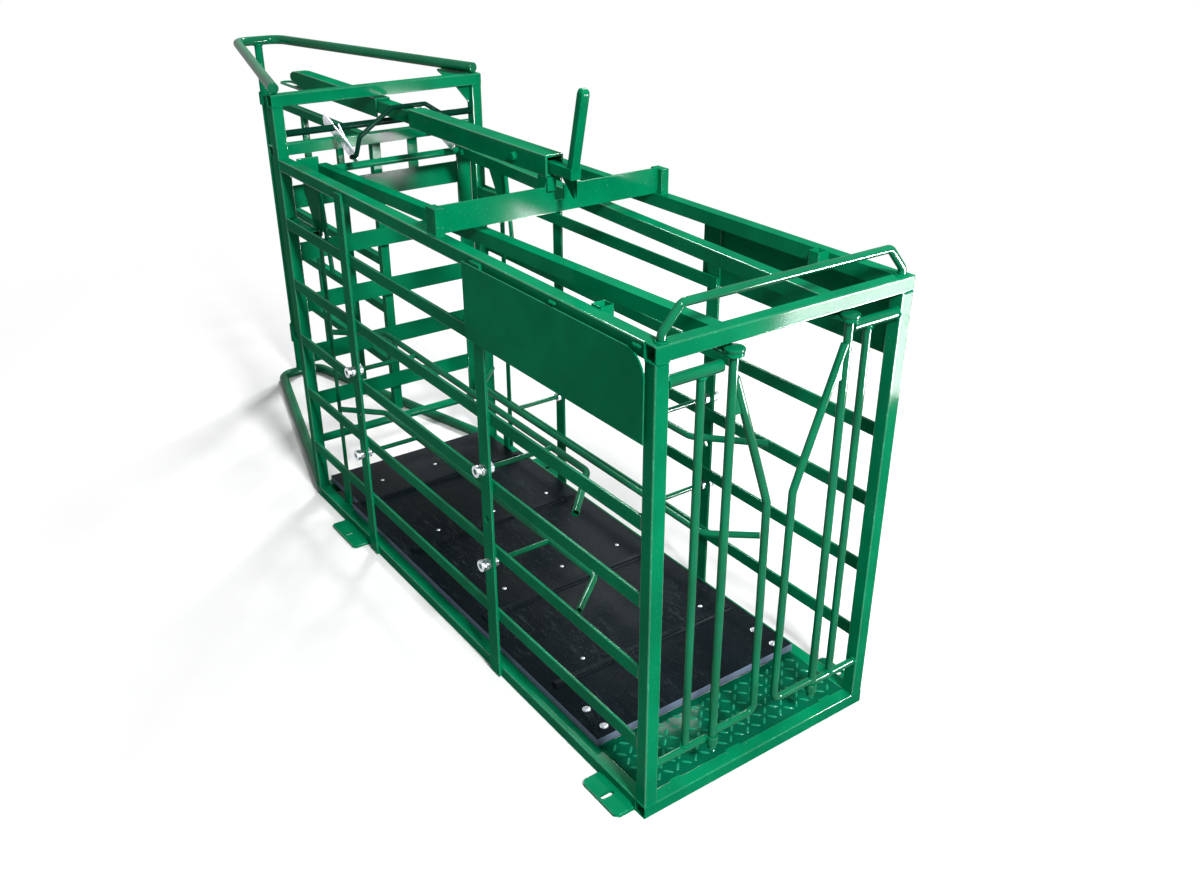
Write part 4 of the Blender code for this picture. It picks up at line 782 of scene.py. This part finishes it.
BAR_BOTTOMS = (0.816, 0.649, 0.488, 0.327, 0.158)
BAR_OUTER_Y = 0.3048
BAR_INNER_Y = 0.2985
BAR_END_X = 0.773
MID_POST_SEAM = 0.0205
CORNER_OUTER_Y = 0.3052
CORNER_INNER_Y = 0.2748
for side, sign in SIDES:
    runs = []
    wall = sign * BAR_OUTER_Y
    inner = sign * BAR_INNER_Y
    for letter, bottom in zip("abcde", BAR_BOTTOMS):
        # The highest bar stops at the front middle post.
        for post in MID_POSTS_X:
            for step in (-1, 1):
                if letter == "a" and post > 0 and step > 0:
                    continue
                edge = post + step * MID_POST_SEAM
                runs.append(((edge, wall, bottom + 0.002), (edge, wall, bottom + 0.028), (step, sign, 0)))
        for end_x, lean in ((-BAR_END_X, 1), (BAR_END_X, -1)):
            if letter == "a" and end_x > 0:
                continue
            for z in (bottom, bottom + 0.030):
                seam_y = sign * 0.3005
                runs.append(((end_x - lean * 0.002, seam_y, z), (end_x + lean * 0.010, seam_y, z),
                             (0, sign * 0.4, 1 if z > bottom else -1)))
            runs.append(((end_x, inner, bottom + 0.001), (end_x, inner, bottom + 0.029), (lean, -sign, 0)))
    for post in MID_POSTS_X:
        runs.append(((post - 0.018, wall, 0.9925), (post + 0.018, wall, 0.9925), (0, sign, 1)))
        for step in (-1, 1):
            edge = post + step * MID_POST_SEAM
            runs.append(((edge, wall, 0.006), (edge, wall, 0.028), (step, sign, 0)))
    for x, low_z, high_z in ((POST_X, 0.0302, 0.9698), (-POST_X, 0.0302, 1.1298)):
        for z in (low_z, high_z):
            lift = 1 if z < 0.5 else -1
            for y, out in ((CORNER_OUTER_Y, (0, sign, 0)), (CORNER_INNER_Y, (0, -sign, lift))):
                runs.append(((x - 0.014, sign * y, z), (x + 0.014, sign * y, z), out))
            for step in (1, -1):
                edge = x + step * 0.0152
                runs.append(((edge, sign * 0.276, z), (edge, sign * 0.304, z), (step, 0, 0)))
    for x in (-BAR_END_X - 0.0002, BAR_END_X + 0.0002):
        for z in (0.0152, 0.985):
            top = z + 0.0152
            corner = sign * CORNER_OUTER_Y
            runs.append(((x, corner, z - 0.014), (x, corner, z + 0.014), (0, sign, 0)))
            runs.append(((x, sign * 0.276, top), (x, sign * 0.304, top), (0, 0, 1)))
    make_piece(side + "_side_welds", *weld_runs(runs, 0.0022), "crate", weld_paint, "green_paint", angle=80.0)

RAIL_TOP = 1.0008
BRIDGE_X = 0.056
TREAD_SEAM_Z = 0.0305
runs = []
for side, sign in SIDES:
    for step in (-1, 1):
        x = BRIDGE_X + step * 0.0205
        runs.append(((x, sign * 0.2815, RAIL_TOP), (x, sign * 0.3015, RAIL_TOP), (step, 0, 1)))
    runs.append(((0.037, sign * 0.3022, RAIL_TOP), (0.075, sign * 0.3022, RAIL_TOP), (0, sign, 1)))
    for step in (-1, 1):
        x = BRIDGE_X + step * 0.0035
        runs.append(((x, sign * 0.280, 1.004), (x, sign * 0.280, 1.054), (step, -sign, 0)))
    for lug_rear, lug_front in ((-0.585, -0.455), (0.658, 0.760)):
        runs.append(((lug_rear, sign * 0.3055, 0.0085), (lug_front, sign * 0.3055, 0.0085), (0, sign, 1)))
    tread_side = sign * CORNER_INNER_Y
    runs.append(((TREAD_REAR + 0.010, tread_side, TREAD_SEAM_Z),
                 (TREAD_REAR + 0.045, tread_side, TREAD_SEAM_Z), (0, -sign, 1)))
    for x in (0.518, 0.762):
        for half, z, lift in ((0.012, 0.9930, 1), (0.010, 0.8255, -1)):
            runs.append(((x - half, sign * 0.3128, z), (x + half, sign * 0.3128, z), (0, sign, lift)))
for y_start, y_end in ((-0.07, -0.03), (0.20, 0.235), (-0.22, -0.19)):
    runs.append(((TREAD_FRONT, y_start, TREAD_SEAM_Z), (TREAD_FRONT, y_end, TREAD_SEAM_Z), (0, 0, 1)))
runs.append(((0.117, -0.010, 1.1105), (0.117, 0.010, 1.1105), (-1, 0, 1)))
runs.append(((0.1165, 0.0115, 1.098), (0.1385, 0.0115, 1.1105), (0, 1, 1)))
make_piece("frame_welds", *weld_runs(runs, 0.0026, rings=34), "crate", weld_paint, "green_paint", angle=80.0)

loops = []
for side, sign in SIDES:
    loops += [((POST_X, sign * HOOP_FOOT_Y, 1.0010), (0, 0, 1), 0.0103),
              ((WING_X, sign * WING_BAR_Y, 0.1300), (0, 0, 1), 0.0083),
              ((WING_X, sign * WING_BAR_Y, 0.9190), (0, 0, 1), 0.0083),
              ((WING_X, sign * 0.2738, WING_TOP_Z), (0, 1, 0), 0.0113),
              ((WING_X, sign * 0.2738, WING_FOOT_Z), (0, 1, 0), 0.0088)]
loops += [((NOSE_END_X, 0.0, z), (0, 0, 1), 0.0128) for z in (1.1600, 0.0295)]
make_piece("ring_welds", *weld_rings(loops, 0.0022), "crate", weld_paint, "green_paint", angle=80.0)

# Floor and light: a pale floor under plain soft light, and a white ground behind.
# Two large lamps stand high in front of the crate and behind it. A low one only draws streaks on the gloss.
# The camera stands where the photo's stood, with the photo's focal length in pixels.
floor_half = 30.0


def rays_to_show(start):
    """1 for rays from the camera, off gloss or through glass, and 0 for soft bounces."""
    names = ("Is Camera Ray", "Is Glossy Ray", "Is Transmission Ray")
    camera_ray, glossy_ray, glass_ray = (start.node("ShaderNodeLightPath", output=name) for name in names)
    return (camera_ray + glossy_ray + glass_ray).between(0.0, 1.0)


floor_mesh = bpy.data.meshes.new("studio_floor")
floor_corners = [(u * floor_half, v * floor_half, 0) for u, v in ((-1, -1), (1, -1), (1, 1), (-1, 1))]
floor_mesh.from_pydata(floor_corners, [], [(0, 1, 2, 3)])
studio_floor = bpy.data.objects.new("studio_floor", floor_mesh)
bpy.context.scene.collection.objects.link(studio_floor)
floor_finish, floor_surface, floor_start, floor_place = new_material("pale floor")
floor_seen = rays_to_show(floor_start)
pale = floor_place.noise(3.0).blend((0.93, 0.93, 0.93, 1), (0.95, 0.95, 0.95, 1))
floor_colour = floor_seen.blend((0.30, 0.30, 0.30, 1), pale)
feed(floor_surface, Base_Color=floor_colour, Roughness=0.9, Specular_IOR_Level=0.0)
distance = floor_start.node("ShaderNodeVectorMath", {"operation": "LENGTH"}, {0: floor_place}, "Value")
white = floor_start.node("ShaderNodeEmission", None, {"Color": (1.0, 1.0, 1.0, 1.0), "Strength": 1.0})
near_floor = Signal(floor_finish.node_tree, floor_surface.outputs["BSDF"])
far_share = distance.between(1.2, 3.2) * floor_seen
faded = floor_start.node("ShaderNodeMixShader", None, {0: far_share, 1: near_floor, 2: white})
output = floor_finish.node_tree.nodes["Material Output"]
floor_finish.node_tree.links.new(faded.socket, output.inputs["Surface"])
floor_mesh.materials.append(floor_finish)

world = bpy.data.worlds.new("white studio")
bpy.context.scene.world = world
world.use_nodes = True
background = world.node_tree.nodes["Background"]
level = 0.26 + 0.74 * rays_to_show(Signal(world.node_tree))
background.inputs["Color"].default_value = (1.0, 1.0, 1.0, 1.0)
world.node_tree.links.new(level.socket, background.inputs["Strength"])


def soft_lamp(name, place, target, size, power, only_gloss=False):
    """A square area lamp that looks at the target; one with only_gloss shows in reflections alone."""
    data = bpy.data.lights.new(name, "AREA")
    data.size = size
    data.energy = power
    lamp = bpy.data.objects.new(name, data)
    bpy.context.scene.collection.objects.link(lamp)
    lamp.location = place
    lamp.visible_camera = False
    lamp.visible_diffuse = not only_gloss
    lamp.rotation_euler = (Vector(target) - Vector(place)).to_track_quat("-Z", "Y").to_euler()


soft_lamp("key_lamp", (4.7, -0.7, 4.0), (0.3, 0.0, 0.5), 0.8, 400.0)
soft_lamp("back_lamp", (-2.6, 2.4, 3.6), (0.2, 0.0, 0.6), 0.9, 170.0)
soft_lamp("streak_lamp", (2.02, 1.05, 0.5), (1.24, 0.1, 0.9), 0.4, 140.0, only_gloss=True)

FOCAL_PIXELS = 1126.5
PICTURE_PIXELS = 1200
camera_data = bpy.data.cameras.new("camera")
camera_data.sensor_width = 36.0
camera_data.lens = FOCAL_PIXELS / PICTURE_PIXELS * camera_data.sensor_width
camera = bpy.data.objects.new("camera", camera_data)
bpy.context.scene.collection.objects.link(camera)
camera.location = (crate_x + 2.0846, -1.3313, 1.6699)
turn, drop = math.radians(-54.38), math.radians(26.89)
looking = Vector((math.sin(turn) * math.cos(drop), math.cos(turn) * math.cos(drop), -math.sin(drop)))
camera.rotation_euler = looking.to_track_quat("-Z", "Y").to_euler()
bpy.context.scene.camera = camera
bpy.context.scene.view_settings.view_transform = "Standard"
